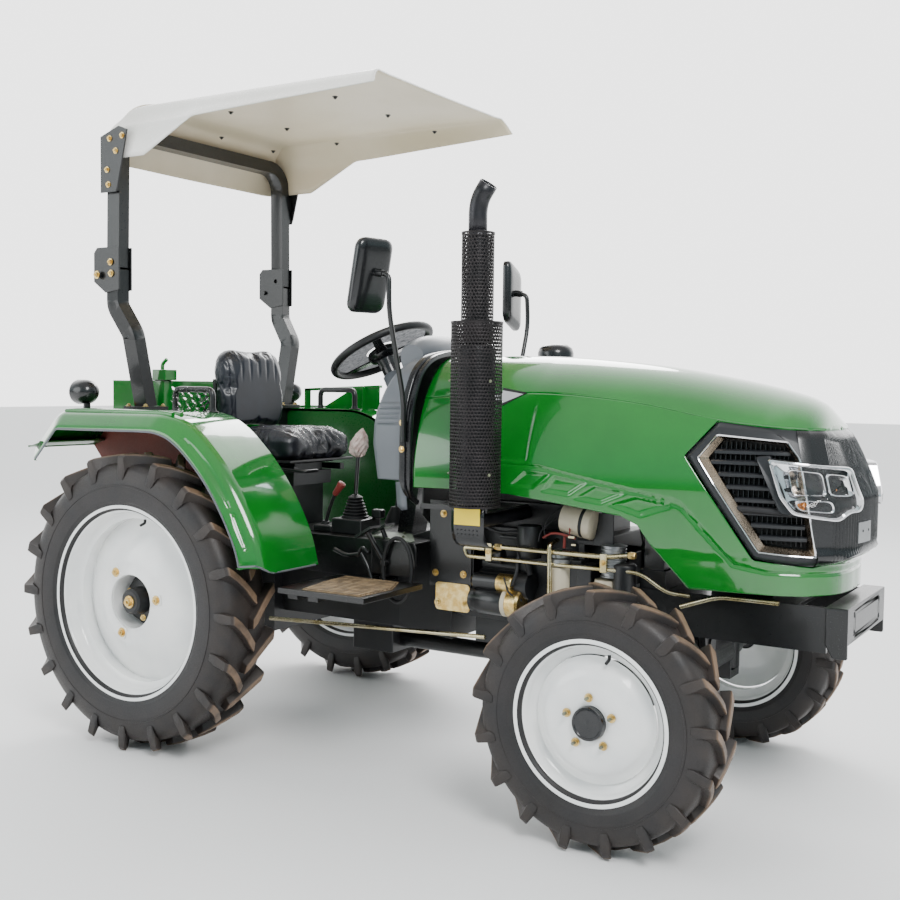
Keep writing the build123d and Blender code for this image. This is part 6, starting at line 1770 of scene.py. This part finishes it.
# Engine bay on the right: pipes are carried through measured points; the starter, filters and
# canister are turned about their own axes.
bay = dict(
    pipeY=-0.240, clipX=(1.118, 1.505), nut=[(-0.012, 0.0095), (-0.008, 0.0115), (0.008, 0.0115), (0.012, 0.0095)],
    motorY=-0.2150, canY=-0.205, canisterAxis=(1, 0, -0.16),
    finZ=(0.600, 0.700, 0.010), fin=[(0, 0.0345), (0.001, 0.0385), (0.004, 0.0385), (0.005, 0.0345)],
    plateY=-0.2035, goldY=-0.2085,
)
pipeY, motorY, canY, canisterAxis = bay["pipeY"], bay["motorY"], bay["canY"], bay["canisterAxis"]
fins = [(z + up, radius) for z in np.arange(*bay["finZ"]) for up, radius in bay["fin"]]
goldOutline = roundedOutline(0.128, 0.090, 0.012) + np.array([0.964, 0.541])
makePieces({
    "hydraulicPipes": ("zincPipe", tubeRow(
        ([(1.100, pipeY, 0.711), (1.024, pipeY, 0.711), (1.036, pipeY, 0.684), (1.618, pipeY, 0.685),
          (1.700, pipeY, 0.636), (1.770, pipeY, 0.634)], 0.0062, [0.012, 0.012, 0.03, 0.03], alongY),
        ([(1.105, pipeY + 0.01, 0.717), (1.140, pipeY, 0.722), (1.510, pipeY, 0.722), (1.600, pipeY, 0.735)], 0.0080,
         0.03, alongY),
        ([(1.325, pipeY + 0.05, 0.752), (1.331, pipeY - 0.012, 0.745), (1.334, pipeY - 0.014, 0.600)], 0.0075, 0.012,
         alongX))),
    "pipeNuts": ("goldZinc", lathes(*[((x, pipeY, z), alongX, bay["nut"], 6)
                                      for x, z in ((1.150, 0.722), (1.592, 0.7335))]),
                 dict(bevel=0.0008)),
    "pipeClips": ("zincPipe", boxRow(
        *[((x - 0.011, pipeY - 0.010, 0.676), (x + 0.011, pipeY - 0.0062, 0.732)) for x in bay["clipX"]],
        *[((x - 0.010, pipeY - 0.008, 0.694), (x + 0.010, -0.190, 0.714)) for x in bay["clipX"]]), dict(bevel=0.002)),
    "pipeClipBolts": ("goldZinc", [boltShape((x, pipeY - 0.010, 0.705), (0, -1, 0), 0.010) for x in bay["clipX"]]),
    "frameRods": ("zincPipe", tubeRow(([(0.251, -0.260, 0.399), (1.117, -0.260, 0.440)], 0.007), (
        [(1.740, -0.235, 0.600), (1.850, -0.235, 0.640), (2.020, -0.235, 0.640)], 0.007, 0.03, alongY))),
    "starterCase": ("blackEnamel", lathes(
        ((1.040, motorY, 0.546), alongX,
         [(0, 0.030), (0.006, 0.038), (0.030, 0.040), (0.034, 0.043), (0.118, 0.043), (0.124, 0.041)], 40),
        ((1.045, motorY, 0.606), alongX, [(0, 0.018), (0.012, 0.0285), (0.088, 0.0295), (0.096, 0.0295)], 36)),
        dict(sharp=40)),
    "starterCaps": ("goldZinc", lathes(
        ((1.141, motorY, 0.606), alongX, [(0, 0.0300), (0.046, 0.0300), (0.052, 0.027), (0.054, 0.010)], 36),
        ((1.178, motorY, 0.546), alongX, [(0, 0.042), (0.036, 0.042), (0.043, 0.036), (0.045, 0.012)], 36)),
        dict(sharp=40)),
    "starterRing": ("creamEnamel", lathes(((1.164, motorY, 0.546), alongX, [(0, 0.0435), (0.014, 0.0435)], 36))),
    "starterLead": ("blackRubber", tubeRow(
        ([(1.196, -0.236, 0.606), (1.215, -0.245, 0.640), (1.212, -0.225, 0.700), (1.196, -0.200, 0.760)], 0.0055,
         0.02),
        ([(1.170, -0.240, 0.628), (1.190, -0.250, 0.585), (1.225, -0.225, 0.560)], 0.003, 0.012),
        ([(1.250, -0.205, 0.760), (1.230, -0.215, 0.700), (1.240, -0.200, 0.640)], 0.010, 0.03))),
    "filterCans": ("creamEnamel", lathes(
        ((1.345, canY, 0), alongZ, [(0.575, 0.030), (0.580, 0.0375), (0.640, 0.0380), (0.672, 0.0380), (0.676, 0.034),
                                    (0.678, 0.010)], 44),
        ((1.500, canY, 0), alongZ, [(0.560, 0.030), (0.566, 0.0375), (0.640, 0.0380), (0.650, 0.0370),
                                    (0.652, 0.010)], 44)),
        dict(sharp=40)),
    "finnedHead": ("castAluminium", lathes(
        ((1.520, canY, 0.06), alongZ, fins, 44),
        ((1.345, canY, 0.10), alongZ, [(0.578, 0.036), (0.582, 0.040), (0.600, 0.040), (0.604, 0.030), (0.625, 0.028),
                                       (0.628, 0.012)], 36)),
        dict(sharp=35)),
    "airCanister": ("creamEnamel", lathes(
        ((1.352, -0.200, 0.828), canisterAxis,
         [(0, 0.030), (0.006, 0.047), (0.060, 0.049), (0.064, 0.0505), (0.070, 0.0505)], 48),
        ((1.432, -0.200, 0.815), canisterAxis, [(0, 0.0495), (0.022, 0.0490), (0.028, 0.042), (0.030, 0.010)], 48)),
        dict(sharp=40)),
    "canisterBand": ("blackRubber",
                     lathes(((1.4205, -0.200, 0.817), canisterAxis, [(0, 0.0485), (0.0115, 0.0485)], 48))),
    "canisterClips": ("zincPipe", boxRow(((1.392, -0.252, 0.770), (1.412, -0.247, 0.776)),
                                         ((1.402, -0.250, 0.748), (1.416, -0.245, 0.753)))),
    "canisterPlate": ("castIron", boxRow(((1.395, -0.196, 0.746), (1.515, -0.192, 0.760)),
                                         ((1.449, -0.198, 0.746), (1.514, -0.194, 0.846)),
                                         ((1.400, -0.196, 0.700), (1.420, -0.150, 0.752))),
                      dict(bevel=0.002, slotName="black_paint")),
    "engineBits": ("castIron", [
        boxShape((1.120, -0.190, 0.742), (1.235, -0.165, 0.752)),
        latheShape((1.190, -0.180, 0.752), alongZ, [(0, 0.012), (0.018, 0.012), (0.02, 0.008)], 20),
        boxShape((1.370, -0.215, 0.600), (1.420, -0.160, 0.700)),
        boxShape((1.405, -0.222, 0.560), (1.455, -0.160, 0.690)),
        latheShape((1.100, -0.215, 0.690), alongX, [(0, 0.02), (0.004, 0.025), (0.05, 0.025), (0.054, 0.02)], 28),
        latheShape((1.560, -0.215, 0), alongZ, [(0.590, 0.028), (0.595, 0.035), (0.700, 0.035), (0.705, 0.028)], 32)],
        dict(bevel=0.003)),
    "redLeads": ("redGrip", tubeRow(
        ([(1.300, -0.235, 0.762), (1.335, -0.245, 0.782), (1.375, -0.235, 0.776), (1.400, -0.220, 0.765)], 0.0035,
         0.02),
        ([(1.392, -0.240, 0.812), (1.392, -0.243, 0.780)], 0.0022),
        ([(1.368, -0.225, 0.775), (1.366, -0.225, 0.735)], 0.0045))),
    "thinLeads": ("blackRubber", tubeRow(
        ([(1.350, -0.200, 0.860), (1.315, -0.225, 0.830), (1.300, -0.235, 0.790), (1.310, -0.235, 0.760)], 0.0022,
         0.03),
        ([(1.365, -0.200, 0.840), (1.320, -0.230, 0.812), (1.290, -0.235, 0.780), (1.285, -0.235, 0.750)], 0.0022,
         0.03),
        ([(1.060, -0.205, 0.790), (1.130, -0.215, 0.760), (1.200, -0.210, 0.770), (1.260, -0.205, 0.755)], 0.006,
         0.05))),
    # side plate that carries the frame, its gold lower plate and their bolts
    "sidePlate": ("blackEnamel", boxRow(((0.872, -0.2035, 0.572), (1.030, -0.1975, 0.850))), dict(bevel=0.002)),
    "goldPlates": ("goldZinc", [plateShape([(x, -0.2045, z) for x, z in goldOutline], (0, -0.004, 0))],
                   dict(bevel=0.001)),
    "sidePlateBolts": ("goldZinc", [boltShape((x, y, z), (0, -1, 0), 0.0125) for x, y, z in (
        (0.926, bay["plateY"], 0.807), (0.897, bay["plateY"], 0.614), (1.002, bay["plateY"], 0.617),
        (0.910, bay["goldY"], 0.519), (1.009, bay["goldY"], 0.523))], dict(sharp=30)),
    # the far side's air cleaner, whose cap stands over the hood's far edge
    "airCap": ("blackAbs", lathes(((1.000, 0.425, 1.200), alongZ, [
        (0, 0.030), (0.060, 0.030), (0.090, 0.034), (0.100, 0.063), (0.138, 0.065), (0.156, 0.059), (0.168, 0.042),
        (0.173, 0.012)], 48)), dict(sharp=50)),
    "airCapStem": ("blackAbs", tubeRow(([(1.000, 0.425, 1.210), (1.000, 0.425, 0.900), (1.060, 0.200, 0.830),
                                       (1.060, 0.100, 0.830)], 0.022, 0.05, alongX))),
})

# CAD nodes that show as they are: finish, then each node's rounded edge
dressed = {
    "blackEnamel": dict(front_frame=0.003, front_bracket=0.004, tie_rod=0.002, side_brackets=0.002, radiator=0.002,
                        front_drive_tube=0.002, lift_arms=0.003, lower_links=0.003, drawbar=0.003, pedals=0.0015,
                        console_deck=0.002, step_boards=0.002, rops_posts=0.003, rops_hoop=0.003),
    "castIron": dict(front_axle=0.005, knuckle_right=0.004, knuckle_left=0.004, gearbox=0.006, rear_axle=0.005,
                     lift_housing=0.004, seat_frame=0.002, engine_fittings=0.002, engine=0.004),
    "blackAbs": dict(battery=0.004, steering_column=0.0),
    "zincPipe": dict(lift_rods=0.001, pto_shaft=0.001),
    "greenEnamel": dict(rear_box=0.003),
}
for finishName, edges in dressed.items():
    for nodeName, edge in edges.items():
        dress(nodeName, finishName, edge)


# rubber roll that the hood closes on: a tube under the hood's lower edge
def noseRoll(side):
    along = np.linspace(alongAtX(1.800), planAlong[-1], 60)
    way = wallPoint(along, lowAt(along) - 0.010, side, np.full(60, -0.016))
    return sweepShape(way, circleOutline(0.0105, 12))


makePiece("noseRoll.right", [noseRoll(-1)], "blackRubber")
makePiece("noseRoll.left", [noseRoll(1)], "blackRubber")
# arrow trim at the hood's crease, silver with a black border: (x, z) and the middle's shares
arrow = np.array([(1.128, 1.188), (1.150, 1.166), (1.172, 1.170), (1.170, 1.158), (1.246, 1.199), (1.160, 1.214),
                  (1.164, 1.202)])
arrowInner = arrow.mean(0) + (arrow - arrow.mean(0)) * (0.86, 0.70)
for name, outline, outs, finishName in (("arrowBorders", arrow, [-0.001, 0.0018], "blackAbs"),
                                        ("arrowTrims", arrowInner, [0.001, 0.0028], "chromePlate")):
    makePiece(name, bothSides(lambda side: wallRings([outline] * 2, outs, side, blend=0.002, fill=True)), finishName,
              "hood_lid")
print("stage: engine bay")
